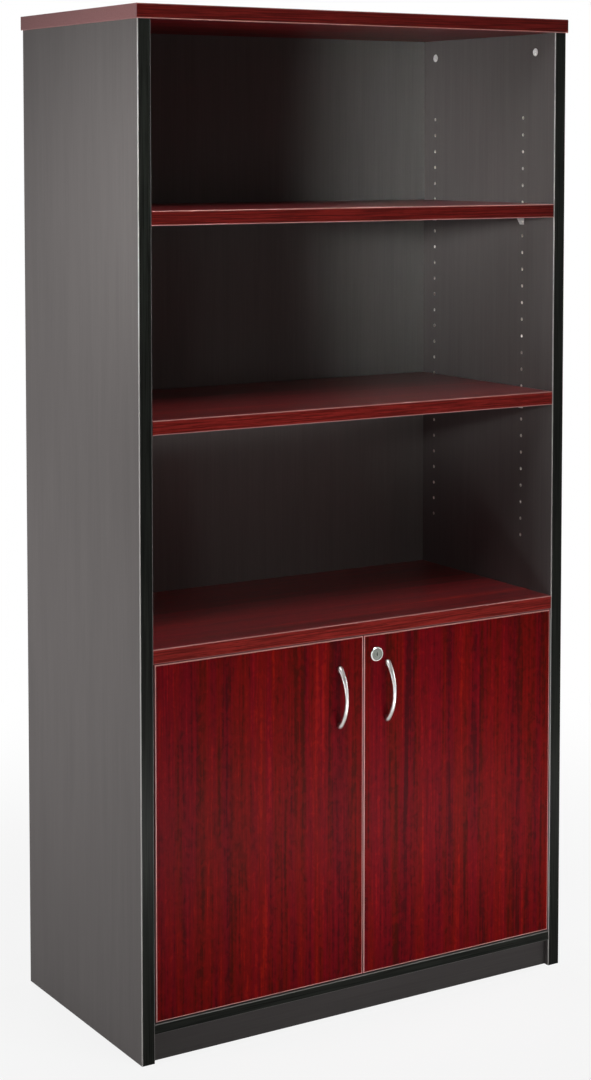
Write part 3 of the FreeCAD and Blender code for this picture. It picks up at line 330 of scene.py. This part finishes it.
# The shelf-pin holes: the inner face of the sides and how far past it the rims reach, the two columns
# behind each other, the first and last rows of each run, the pitch of the rows and the radius of a rim;
# the rims are painted in the core's colour as a highlight, so that the shaded holes show as bright dots
SIDE_BOARDS = ("left_side_panel", "right_side_panel")
SIDE_INNER_FACE, FACE_REACH = 0.425, 0.0005
HOLE_COLUMNS = (-0.117, 0.171)
HOLE_ROWS = ((0.210, 0.466), (0.818, 1.618))
HOLE_PITCH = 0.032
HOLE_RIM = 0.0031


def inside_board(tree, node):
    """One inside the bores of a board, zero on its faces and edges."""
    low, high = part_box(node)
    middle, half = (low + high) / 2, (high - low) / 2
    from_middle = on_vectors(tree, "SUBTRACT", place_on_piece(tree), middle)
    depth = on_vectors(tree, "SUBTRACT", half, on_vectors(tree, "ABSOLUTE", from_middle))
    parts = axes_of(tree, depth)
    least = calculate(tree, "MINIMUM", calculate(tree, "MINIMUM", parts[0], parts[1]), parts[2])
    return calculate(tree, "GREATER_THAN", least, BOARD_SKIN)


def core_colour(tree, finish):
    """Chips of bare wood."""
    chips = speckles(tree, CHIPS_PER_METRE, CHIP_DETAIL)
    shade = rescale(tree, chips, *NOISE_RANGE, *CHIP_SHADES)
    return mix_colours(tree, shade, scaled(finish.core, DULL_CORE), finish.core)


def painted_hole_rims(tree):
    """One on painted rims round the shelf-pin holes, on the inner faces of the sides: a highlight in the
    core's colour for the shaded holes.
    """
    across, inward, height = axes_of(tree, place_on_piece(tree))
    from_row = calculate(tree, "SUBTRACT", height, HOLE_ROWS[-1][0])
    from_row = calculate(tree, "WRAP", from_row, HOLE_PITCH / 2, -HOLE_PITCH / 2)
    from_middle = calculate(tree, "ABSOLUTE", calculate(tree, "SUBTRACT", inward, sum(HOLE_COLUMNS) / 2))
    from_column = calculate(tree, "SUBTRACT", from_middle, (HOLE_COLUMNS[1] - HOLE_COLUMNS[0]) / 2)
    offset = add_node(tree, "ShaderNodeCombineXYZ", {0: from_row, 1: from_column})
    radius = on_vectors(tree, "LENGTH", offset.outputs[0])
    rim = calculate(tree, "LESS_THAN", radius, HOLE_RIM)
    rows = [calculate(tree, "COMPARE", height, (low + high) / 2, (high - low + HOLE_PITCH) / 2)
            for low, high in HOLE_ROWS]
    rim = calculate(tree, "MULTIPLY", rim, calculate(tree, "MAXIMUM", *rows))
    inner = calculate(tree, "LESS_THAN", calculate(tree, "ABSOLUTE", across), SIDE_INNER_FACE + FACE_REACH)
    return calculate(tree, "MULTIPLY", rim, inner)


# Boards

# Streaks of the red boards: number in a metre across and along the grain, detail, distortion and offset
RED_BANDS = (36.0, 0.7, 2.0, 0.4, 0.0)
RED_RIBBONS = (90.0, 2.2, 3.0, 0.30, 3.0)
RED_LINES = (210.0, 6.0, 4.0, 0.0, 7.0)
RED_FIGURE = (95.0, 60.0, 4.0, 0.8, 11.0)
RED_HUE = (46.0, 1.1, 2.0, 0.0, 23.0)
RED_PORES = (1100.0, 24.0, 1.0, 0.0, 17.0)
# The shares of bands, ribbons, lines and figure in the tone, and the tones between which the colours change
RED_SHARES = (0.28, 0.22, 0.27, 0.23)
DARK_TO_RED, RED_TO_BRIGHT = (0.38, 0.54), (0.52, 0.65)
# What the drift in hue does to the channels, from brownish to crimson
HUE_RANGE = (0.40, 0.60)
BROWNISH, CRIMSON = (1.0, 1.25, 0.75), (0.95, 0.85, 1.45)
PORE_RANGE = (0.58, 0.70)
PORE_SHARE = 0.45
RED_ROUGHNESS_SPREAD = 0.12
RED_RELIEF = 0.00005

GREY_GRAIN = (420.0, 5.0, 4.0)
GREY_CLOUDS = (50.0, 4.0, 3.0, 0.0, 5.0)
PEARLS_PER_METRE, PEARL_DETAIL = 1400.0, 2.0
# The shares of pearl, grain and clouds in the tone, and the darkest and the lightest grey
GREY_SHARES = (0.20, 0.42, 0.38)
DARK_GREY, LIGHT_GREY = 0.93, 1.07
GREY_ROUGHNESS_SPREAD, GREY_ROUGHNESS = 0.16, 0.34
GREY_GLOSS = 0.03
GREY_RELIEF = 0.00004
RELIEF_STRENGTH = 0.5


def mahogany_board(node, along, finish, tone_share, sheen_share, gloss, roughness):
    """Red laminate with ribbon stripes that drift in hue, a faint cross figure, fine dark pores and a painted
    grey sheen.
    """
    material, tree, shader = start_material(node + "_laminate")
    bands = streaks(tree, along, *RED_BANDS)
    ribbons = streaks(tree, along, *RED_RIBBONS)
    lines = streaks(tree, along, *RED_LINES)
    figure = streaks(tree, along, *RED_FIGURE)
    tone = weighted_sum(tree, (bands, ribbons, lines, figure), RED_SHARES)
    red = mix_colours(tree, rescale(tree, tone, *DARK_TO_RED), finish.mahogany_dark, finish.mahogany_red)
    red = mix_colours(tree, rescale(tree, tone, *RED_TO_BRIGHT), red, finish.mahogany_bright)
    drift = rescale(tree, streaks(tree, along, *RED_HUE), *HUE_RANGE)
    tint = mix_colours(tree, drift, scaled(BROWNISH, tone_share), scaled(CRIMSON, tone_share))
    red = mix_colours(tree, 1.0, red, tint, "MULTIPLY")
    pores = rescale(tree, streaks(tree, along, *RED_PORES), *PORE_RANGE)
    red = mix_colours(tree, calculate(tree, "MULTIPLY", pores, PORE_SHARE), red, finish.mahogany_dark)
    # Painted sheen: grey mixed into the red, standing in for reflections at grazing angles
    red = mix_colours(tree, sheen_share, red, finish.painted_sheen)
    colour = mix_colours(tree, inside_board(tree, node), red, core_colour(tree, finish))
    rough = calculate(tree, "MULTIPLY_ADD", lines, RED_ROUGHNESS_SPREAD, roughness - RED_ROUGHNESS_SPREAD / 2)
    set_shader(tree, shader, Base_Color=colour, Roughness=rough, Specular_IOR_Level=gloss,
               Coat_Weight=gloss, Coat_Roughness=roughness)
    add_bump(tree, shader, calculate(tree, "SUBTRACT", lines, pores), RED_RELIEF, RELIEF_STRENGTH)
    return material


def graphite_board(node, along, base, tone_share, finish):
    """Grey laminate with a fine brushed grain, faint clouds and a pearled surface."""
    material, tree, shader = start_material(node + "_laminate")
    grain = streaks(tree, along, *GREY_GRAIN)
    clouds = streaks(tree, along, *GREY_CLOUDS)
    pearl = speckles(tree, PEARLS_PER_METRE, PEARL_DETAIL)
    tone = weighted_sum(tree, (pearl, grain, clouds), GREY_SHARES)
    grey = mix_colours(tree, rescale(tree, tone, *STREAK_RANGE), scaled(base, DARK_GREY * tone_share),
                       scaled(base, LIGHT_GREY * tone_share))
    bare = inside_board(tree, node)
    if node in SIDE_BOARDS:
        # Painted highlight: rings of the core's colour round the shelf-pin holes
        bare = calculate(tree, "MAXIMUM", bare, painted_hole_rims(tree))
    colour = mix_colours(tree, bare, grey, core_colour(tree, finish))
    roughness = calculate(tree, "MULTIPLY_ADD", grain, GREY_ROUGHNESS_SPREAD, GREY_ROUGHNESS)
    set_shader(tree, shader, Base_Color=colour, Roughness=roughness, Specular_IOR_Level=GREY_GLOSS)
    add_bump(tree, shader, calculate(tree, "ADD", grain, pearl), GREY_RELIEF, RELIEF_STRENGTH)
    return material


# Strips

# The share of a rounding that is paler in full, before the paleness fades; the paleness is scraped wear and a
# painted highlight
FULL_PALE_SHARE = 0.6
WEAR_AND_HIGHLIGHT_SPREAD = 0.5
STRIP_ROUGHNESS_SPREAD = 0.2

RED_STRIP_GRAIN = (380.0, 9.0, 3.0)
RED_STRIP_RANGE = (0.38, 0.64)
RED_STRIP_DARK, RED_STRIP_LIGHT = 0.62, 1.30
RED_FLECKS = (900.0, 45.0, 1.0, 0.0, 9.0)
FLECK_RANGE = (0.55, 0.70)
FLECK_SHARE = 0.45
RED_STRIP_WEAR_AND_HIGHLIGHT = 0.65
RED_STRIP_ROUNDING = 0.0019
RED_STRIP_ROUGHNESS = 0.24
RED_STRIP_GLOSS = 0.03
RED_STRIP_RELIEF = 0.00005
# How far in from the ends of the top its painted sheen starts and is full
END_SHEEN_START, END_SHEEN_FULL = 0.0012, 0.0004

BLACK_STRIP_GRAIN = (500.0, 10.0, 3.0)
BLACK_STRIP_DARK, BLACK_STRIP_LIGHT = 0.65, 1.45
BLACK_STRIP_WEAR_AND_HIGHLIGHT = 0.55
BLACK_STRIP_ROUNDING = 0.0018
BLACK_STRIP_ROUGHNESS = 0.20
BLACK_STRIP_GLOSS = 0.035
BLACK_STRIP_RELIEF = 0.00004


def rounding(tree, node, across, reach, low_share, high_share):
    """The shares given on the two rounded edges of a strip, zero between them."""
    low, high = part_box(node)
    number = AXES.index(across)
    place = axes_of(tree, place_on_piece(tree))[number]
    full = FULL_PALE_SHARE * reach
    near = rescale(tree, place, low[number] + full, low[number] + reach, low_share, 0.0)
    far = rescale(tree, place, high[number] - reach, high[number] - full, 0.0, high_share)
    return calculate(tree, "ADD", near, far)


def mahogany_strip(node, tone_share, along, across, low_share, high_share, finish):
    """Red-brown strip with grain along it, paler on its roundings from scraped wear and a painted highlight.
    """
    material, tree, shader = start_material(node + "_strip")
    grain = streaks(tree, along, *RED_STRIP_GRAIN)
    brown = mix_colours(tree, rescale(tree, grain, *RED_STRIP_RANGE),
                        scaled(finish.mahogany_strip, RED_STRIP_DARK * tone_share),
                        scaled(finish.mahogany_strip, RED_STRIP_LIGHT * tone_share))
    flecks = rescale(tree, streaks(tree, along, *RED_FLECKS), *FLECK_RANGE)
    brown = mix_colours(tree, calculate(tree, "MULTIPLY", flecks, FLECK_SHARE), brown, finish.mahogany_dark)
    wear_and_highlight = calculate(tree, "MULTIPLY_ADD", grain, WEAR_AND_HIGHLIGHT_SPREAD, RED_STRIP_WEAR_AND_HIGHLIGHT)
    scraped_and_highlighted = rounding(tree, node, across, RED_STRIP_ROUNDING, low_share, high_share)
    # Painted highlight, with scraped wear, on the roundings
    colour = mix_colours(tree, calculate(tree, "MULTIPLY", scraped_and_highlighted, wear_and_highlight), brown, finish.mahogany_arris_wear_and_highlight)
    # Painted sheen on the ends of the top
    if node == "top_edging":
        sideways = axes_of(tree, place_on_piece(tree))[0]
        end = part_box(node)[1].x
        ends = rescale(tree, calculate(tree, "ABSOLUTE", sideways), end - END_SHEEN_START, end - END_SHEEN_FULL)
        colour = mix_colours(tree, calculate(tree, "MULTIPLY", ends, wear_and_highlight), colour, finish.mahogany_end_sheen)
    roughness = calculate(tree, "MULTIPLY_ADD", grain, STRIP_ROUGHNESS_SPREAD, RED_STRIP_ROUGHNESS)
    set_shader(tree, shader, Base_Color=colour, Roughness=roughness, Specular_IOR_Level=RED_STRIP_GLOSS)
    add_bump(tree, shader, grain, RED_STRIP_RELIEF, RELIEF_STRENGTH)
    return material


def graphite_strip(node, tone_share, along, across, low_share, high_share, finish):
    """Black strip with a faint grain, greyer on its roundings from scraped wear and a painted highlight."""
    material, tree, shader = start_material(node + "_strip")
    grain = streaks(tree, along, *BLACK_STRIP_GRAIN)
    black = mix_colours(tree, rescale(tree, grain, *STREAK_RANGE),
                        scaled(finish.graphite_strip, BLACK_STRIP_DARK * tone_share),
                        scaled(finish.graphite_strip, BLACK_STRIP_LIGHT * tone_share))
    wear_and_highlight = calculate(tree, "MULTIPLY_ADD", grain, WEAR_AND_HIGHLIGHT_SPREAD, BLACK_STRIP_WEAR_AND_HIGHLIGHT)
    scraped_and_highlighted = rounding(tree, node, across, BLACK_STRIP_ROUNDING, low_share, high_share)
    # Painted highlight, with scraped wear, on the roundings
    colour = mix_colours(tree, calculate(tree, "MULTIPLY", scraped_and_highlighted, wear_and_highlight), black, finish.graphite_arris_wear_and_highlight)
    roughness = calculate(tree, "MULTIPLY_ADD", grain, STRIP_ROUGHNESS_SPREAD, BLACK_STRIP_ROUGHNESS)
    set_shader(tree, shader, Base_Color=colour, Roughness=roughness, Specular_IOR_Level=BLACK_STRIP_GLOSS)
    add_bump(tree, shader, grain, BLACK_STRIP_RELIEF, RELIEF_STRENGTH)
    return material


# Fittings

# How much longer than wide the drawn lines of a metal are
LINE_LENGTH = 40.0
LINE_DETAIL = 3.0
SMUDGES_PER_METRE, SMUDGE_DETAIL = 120.0, 3.0
DULL_METAL, BRIGHT_METAL = 0.90, 1.06
LINE_ROUGHNESS, SMUDGE_ROUGHNESS = 0.16, 0.06
METAL_RELIEF_STRENGTH = 0.4

# Radii between which the lock's face passes into its rim, and the phase of its turned rings in a metre
LOCK_RIM = (0.0107, 0.0113)
LOCK_RINGS = 14000.0
DULL_RING = 0.8
# How far the rim's chrome is brightened, as a painted highlight
RIM_PAINTED_HIGHLIGHT = 1.35
LOCK_FACE_ROUGHNESS, LOCK_RIM_ROUGHNESS = 0.42, 0.22
RING_RELIEF = 0.000008

CLOUDS_PER_METRE, CLOUD_DETAIL = 260.0, 2.0
DULL_PLASTIC = 0.88
PLASTIC_ROUGHNESS_SPREAD, PLASTIC_ROUGHNESS = 0.12, 0.18
PLASTIC_GLOSS = 0.5
PLASTIC_RELIEF, PLASTIC_RELIEF_STRENGTH = 0.00003, 0.4

BEECH_GRAIN = (700.0, 30.0, 3.0)
DARK_BEECH = 0.75
BEECH_ROUGHNESS = 0.6
BEECH_RELIEF = 0.0001


def metal(name, finish):
    """Bare or plated metal with fine drawn lines and faint smudges."""
    base, roughness, along, line_depth, lines_per_metre, metallic = METALS[name]
    colour = getattr(finish, base)
    material, tree, shader = start_material(name)
    lines = streaks(tree, along, lines_per_metre, lines_per_metre / LINE_LENGTH, LINE_DETAIL)
    smudges = speckles(tree, SMUDGES_PER_METRE, SMUDGE_DETAIL)
    bright = [min(1.0, channel) for channel in scaled(colour, BRIGHT_METAL)]
    shade = mix_colours(tree, rescale(tree, smudges, *NOISE_RANGE), scaled(colour, DULL_METAL), bright)
    rough = calculate(tree, "MULTIPLY_ADD", lines, LINE_ROUGHNESS, roughness - LINE_ROUGHNESS / 2)
    rough = calculate(tree, "MULTIPLY_ADD", smudges, SMUDGE_ROUGHNESS, rough)
    set_shader(tree, shader, Base_Color=shade, Metallic=metallic, Roughness=rough)
    add_bump(tree, shader, lines, line_depth, METAL_RELIEF_STRENGTH)
    return material


def lock_chrome(finish):
    """Chrome that is brightened on the lock's rim as a painted highlight and darkened, with turned rings, on
    its face as a painted reflection of a dark surround.
    """
    material, tree, shader = start_material("lock_chrome")
    low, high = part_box("lock_plug")
    axis = ((low.x + high.x) / 2, 0.0, (low.z + high.z) / 2)
    from_axis = on_vectors(tree, "SUBTRACT", place_on_piece(tree), axis)
    radius = on_vectors(tree, "LENGTH", on_vectors(tree, "MULTIPLY", from_axis, (1.0, 0.0, 1.0)))
    rings = calculate(tree, "SINE", calculate(tree, "MULTIPLY", radius, LOCK_RINGS))
    # Painted reflection: the face darkened as if it mirrored a dark surround
    painted_dark_face = mix_colours(tree, rescale(tree, rings, -1.0, 1.0), scaled(finish.lock_face_painted_reflection, DULL_RING),
                       finish.lock_face_painted_reflection)
    # Painted highlight: the rim's chrome brightened
    bright = [min(1.0, channel) for channel in scaled(finish.chrome, RIM_PAINTED_HIGHLIGHT)]
    rim = rescale(tree, radius, *LOCK_RIM)
    colour = mix_colours(tree, rim, painted_dark_face, bright)
    roughness = rescale(tree, rim, 0.0, 1.0, LOCK_FACE_ROUGHNESS, LOCK_RIM_ROUGHNESS)
    set_shader(tree, shader, Base_Color=colour, Metallic=1.0, Roughness=roughness)
    add_bump(tree, shader, rings, RING_RELIEF, RELIEF_STRENGTH)
    return material


def support_plastic(finish):
    """Milky moulded plastic."""
    material, tree, shader = start_material("support_plastic")
    clouds = speckles(tree, CLOUDS_PER_METRE, CLOUD_DETAIL)
    white = mix_colours(tree, rescale(tree, clouds, *NOISE_RANGE), scaled(finish.plastic, DULL_PLASTIC),
                        finish.plastic)
    roughness = calculate(tree, "MULTIPLY_ADD", clouds, PLASTIC_ROUGHNESS_SPREAD, PLASTIC_ROUGHNESS)
    set_shader(tree, shader, Base_Color=white, Roughness=roughness, Specular_IOR_Level=PLASTIC_GLOSS)
    add_bump(tree, shader, clouds, PLASTIC_RELIEF, PLASTIC_RELIEF_STRENGTH)
    return material


def beech_wood(finish):
    """Pale wood with short brown flecks."""
    material, tree, shader = start_material("dowel_beech")
    grain = streaks(tree, "z", *BEECH_GRAIN)
    wood = mix_colours(tree, rescale(tree, grain, *STREAK_RANGE), scaled(finish.beech, DARK_BEECH),
                       finish.beech)
    set_shader(tree, shader, Base_Color=wood, Roughness=BEECH_ROUGHNESS)
    add_bump(tree, shader, grain, BEECH_RELIEF, RELIEF_STRENGTH)
    return material


class BOOKCASE_OT_mahogany_boards(bpy.types.Operator):
    """Finish the top, the shelves and the doors"""
    bl_idname = "bookcase.mahogany_boards"
    bl_label = "Mahogany boards"

    def execute(self, context):
        finish = context.scene.bookcase_boards
        for node, look in SHELF_BOARDS.items():
            dress([node], mahogany_board(node, "x", finish, *look, SHELF_ROUGHNESS))
        for node, look in DOOR_BOARDS.items():
            dress([node], mahogany_board(node, "z", finish, *look, DOOR_ROUGHNESS))
        return {"FINISHED"}


class BOOKCASE_OT_graphite_boards(bpy.types.Operator):
    """Finish the sides, the back, the bottom and the kickboard"""
    bl_idname = "bookcase.graphite_boards"
    bl_label = "Graphite boards"

    def execute(self, context):
        finish = context.scene.bookcase_boards
        for node, (along, base, tone_share) in GRAPHITE_BOARDS.items():
            dress([node], graphite_board(node, along, getattr(finish, base), tone_share, finish))
        return {"FINISHED"}


class BOOKCASE_OT_mahogany_strips(bpy.types.Operator):
    """Finish the edge strips of the red boards"""
    bl_idname = "bookcase.mahogany_strips"
    bl_label = "Mahogany strips"

    def execute(self, context):
        for node, edges in MAHOGANY_STRIPS.items():
            dress([node], mahogany_strip(node, *edges, context.scene.bookcase_boards))
        return {"FINISHED"}


class BOOKCASE_OT_graphite_strips(bpy.types.Operator):
    """Finish the edge strips of the grey boards"""
    bl_idname = "bookcase.graphite_strips"
    bl_label = "Graphite strips"

    def execute(self, context):
        for node, edges in GRAPHITE_STRIPS.items():
            dress([node], graphite_strip(node, *edges, context.scene.bookcase_boards))
        return {"FINISHED"}


class BOOKCASE_OT_handles_and_lock(bpy.types.Operator):
    """Finish the bow handles and the lock's face in satin chrome"""
    bl_idname = "bookcase.handles_and_lock"
    bl_label = "Handles and lock"

    def execute(self, context):
        finish = context.scene.bookcase_fittings
        dress(HANDLES, metal("satin_chrome", finish))
        dress(LOCK_FACES, lock_chrome(finish))
        return {"FINISHED"}


class BOOKCASE_OT_steel_fittings(bpy.types.Operator):
    """Finish the hinges, the bolt, the strike and the screws"""
    bl_idname = "bookcase.steel_fittings"
    bl_label = "Steel fittings"

    def execute(self, context):
        steel = metal("plated_steel", context.scene.bookcase_fittings)
        dress(STEEL_FITTINGS + SCREWS + JOINT_BOLTS, steel)
        return {"FINISHED"}


class BOOKCASE_OT_joint_fittings(bpy.types.Operator):
    """Finish the cams and the dowels of the board joints"""
    bl_idname = "bookcase.joint_fittings"
    bl_label = "Cams and dowels"

    def execute(self, context):
        finish = context.scene.bookcase_fittings
        dress(CAMS, metal("cast_zinc", finish))
        dress(["carcass_dowels"], beech_wood(finish))
        return {"FINISHED"}


class BOOKCASE_OT_shelf_supports(bpy.types.Operator):
    """Finish the supports under the loose shelves"""
    bl_idname = "bookcase.shelf_supports"
    bl_label = "Shelf supports"

    def execute(self, context):
        dress(SUPPORTS, support_plastic(context.scene.bookcase_fittings))
        return {"FINISHED"}


# Studio

# Place, aim, width and height in metres, and spread in degrees of each lamp
LAMPS = {
    "top_lamp": ((0.0, -1.3, 3.2), (0.0, -0.1, 1.2), (1.2, 0.8), 180.0),
    "left_lamp": ((-2.6, 0.10, 0.85), (-0.45, 0.05, 0.85), (1.0, 0.9), 75.0),
    "right_lamp": ((2.6, 0.10, 0.85), (0.45, 0.05, 0.85), (1.0, 0.9), 75.0),
    "rear_lamp": ((0.2, 2.8, 1.2), (0.0, 0.25, 1.0), (1.2, 1.3), 180.0),
    "floor_lamp": ((0.24, -1.0, 0.05), (0.05, -0.2, 0.44), (1.30, 0.25), 90.0),
    "shelf_lamp": ((-2.97, -1.92, 1.62), (0.43, 0.17, 1.52), (0.80, 0.30), 18.5),
    "near_lamp": ((-2.3, -2.7, 0.95), (0.0, 0.1, 0.70), (0.35, 0.40), 34.0),
}
WHITE = (1.0, 1.0, 1.0, 1.0)
FLOOR_REACH = 20.0
DUST_PER_METRE, DUST_DETAIL = 3.0, 2.0
DUSTY_FLOOR = 0.97
FLOOR_ROUGHNESS = 0.8
# The distances from the case between which the floor fades into the white, and how white it is near the case
FLOOR_FADE = (0.6, 2.2)
NEAR_WHITENESS = 0.86
# The upward parts of a direction between which the walls end and the ceiling starts,
# and the brightness of the band between them
WALLS_END, CEILING_START = (0.30, 0.48), (0.84, 0.94)
BAND_BRIGHTNESS = 0.15
SENSOR_WIDTH = 36.0
CLIP_END = 100.0
LEVEL_TURN = math.radians(90.0)


def add_lamp(name, power, place, target, size, spread):
    """A rectangular soft lamp that faces a point and stays out of the picture."""
    light = bpy.data.lights.new(name, "AREA")
    light.shape = "RECTANGLE"
    light.size, light.size_y = size
    light.spread = math.radians(spread)
    light.energy = power
    lamp = bpy.data.objects.new(name, light)
    lamp.location = place
    lamp.rotation_mode = "QUATERNION"
    lamp.rotation_quaternion = (Vector(target) - Vector(place)).to_track_quat("-Z", "Y")
    lamp.visible_camera = False
    bpy.context.scene.collection.objects.link(lamp)


def seen_background(tree):
    """One for rays that should meet a white studio, zero for the light that falls on things."""
    path = add_node(tree, "ShaderNodeLightPath").outputs
    seen = calculate(tree, "MAXIMUM", path["Is Camera Ray"], path["Is Glossy Ray"])
    return calculate(tree, "MAXIMUM", seen, path["Is Transmission Ray"])


def add_floor(colour):
    """A pale floor that keeps a soft shadow near the case and fades into the white further off."""
    mesh = bpy.data.meshes.new("floor")
    form = bmesh.new()
    bmesh.ops.create_grid(form, x_segments=1, y_segments=1, size=FLOOR_REACH)
    form.to_mesh(mesh)
    form.free()
    floor = bpy.data.objects.new("floor", mesh)
    bpy.context.scene.collection.objects.link(floor)
    material, tree, shader = start_material("studio_floor")
    pale = mix_colours(tree, speckles(tree, DUST_PER_METRE, DUST_DETAIL), scaled(colour, DUSTY_FLOOR), colour)
    set_shader(tree, shader, Base_Color=pale, Roughness=FLOOR_ROUGHNESS, Specular_IOR_Level=0.0)
    white = add_node(tree, "ShaderNodeEmission", {"Strength": 1.0})
    distance = on_vectors(tree, "LENGTH", place_on_piece(tree))
    whiteness = rescale(tree, distance, *FLOOR_FADE, NEAR_WHITENESS, 1.0)
    factor = calculate(tree, "MULTIPLY", seen_background(tree), whiteness)
    mixed = add_node(tree, "ShaderNodeMixShader",
                     {0: factor, 1: shader.outputs["BSDF"], 2: white.outputs["Emission"]})
    output = next(node for node in tree.nodes if node.type == "OUTPUT_MATERIAL")
    tree.links.new(mixed.outputs["Shader"], output.inputs["Surface"])
    mesh.materials.append(material)


def add_world(ambient):
    """A room of dim even light, white to the camera, with a dim band above its walls in shiny things."""
    world = bpy.data.worlds.new("studio")
    bpy.context.scene.world = world
    world.use_nodes = True
    tree = world.node_tree
    tree.nodes.clear()
    room = add_node(tree, "ShaderNodeBackground", {"Color": WHITE, "Strength": ambient})
    white = add_node(tree, "ShaderNodeBackground", {"Color": WHITE, "Strength": 1.0})
    upward = axes_of(tree, add_node(tree, "ShaderNodeTexCoord").outputs["Generated"])["Z"]
    walls = rescale(tree, upward, *WALLS_END, 1.0, BAND_BRIGHTNESS)
    ceiling = rescale(tree, upward, *CEILING_START)
    bright = calculate(tree, "MAXIMUM", walls, ceiling)
    camera = add_node(tree, "ShaderNodeLightPath").outputs["Is Camera Ray"]
    factor = calculate(tree, "MULTIPLY", seen_background(tree), calculate(tree, "MAXIMUM", camera, bright))
    mixed = add_node(tree, "ShaderNodeMixShader", {0: factor, 1: room.outputs[0], 2: white.outputs[0]})
    add_node(tree, "ShaderNodeOutputWorld", {"Surface": mixed.outputs["Shader"]})


def add_camera(studio):
    """The camera, level but for its tilt."""
    lens = bpy.data.cameras.new("camera")
    lens.lens = studio.camera_lens
    lens.sensor_width = SENSOR_WIDTH
    lens.shift_y = studio.camera_shift
    lens.clip_end = CLIP_END
    camera = bpy.data.objects.new("camera", lens)
    camera.location = studio.camera_place
    camera.rotation_euler = (LEVEL_TURN - studio.camera_tilt, 0.0, -studio.camera_turn)
    bpy.context.scene.collection.objects.link(camera)
    bpy.context.scene.camera = camera


class BOOKCASE_OT_stage(bpy.types.Operator):
    """Set the floor, the lamps, the room's light and the camera"""
    bl_idname = "bookcase.stage"
    bl_label = "Studio"

    def execute(self, context):
        studio = context.scene.bookcase_studio
        context.scene.view_settings.view_transform = "Standard"
        add_floor(studio.floor)
        add_world(studio.ambient)
        for name, setting in LAMPS.items():
            add_lamp(name, getattr(studio, name), *setting)
        add_camera(studio)
        return {"FINISHED"}


STEPS = (
    BOOKCASE_OT_mahogany_boards, BOOKCASE_OT_graphite_boards, BOOKCASE_OT_mahogany_strips,
    BOOKCASE_OT_graphite_strips, BOOKCASE_OT_handles_and_lock, BOOKCASE_OT_steel_fittings,
    BOOKCASE_OT_joint_fittings, BOOKCASE_OT_shelf_supports, BOOKCASE_OT_stage,
)
SETTINGS = {"bookcase_boards": BoardFinish, "bookcase_fittings": FittingFinish, "bookcase_studio": Studio}


class BOOKCASE_PT_panel(bpy.types.Panel):
    """The bookcase's finishes and steps"""
    bl_idname = "BOOKCASE_PT_panel"
    bl_label = "Bookcase"
    bl_space_type = "VIEW_3D"
    bl_region_type = "UI"
    bl_category = "Bookcase"

    def draw(self, context):
        for step in STEPS:
            self.layout.operator(step.bl_idname)
        for name, group in SETTINGS.items():
            box = self.layout.box()
            for setting in group.__annotations__:
                box.prop(getattr(context.scene, name), setting)


CLASSES = (*SETTINGS.values(), *STEPS, BOOKCASE_PT_panel)


def register():
    """Adds the classes and the scene's settings."""
    for kind in CLASSES:
        bpy.utils.register_class(kind)
    for name, group in SETTINGS.items():
        setattr(bpy.types.Scene, name, PointerProperty(type=group))


def unregister():
    """Takes the settings and the classes away again."""
    for name in SETTINGS:
        delattr(bpy.types.Scene, name)
    for kind in reversed(CLASSES):
        bpy.utils.unregister_class(kind)


def main():
    """Runs every step."""
    register()
    for step in STEPS:
        group, name = step.bl_idname.split(".")
        getattr(getattr(bpy.ops, group), name)()


if __name__ == "__main__":
    main()
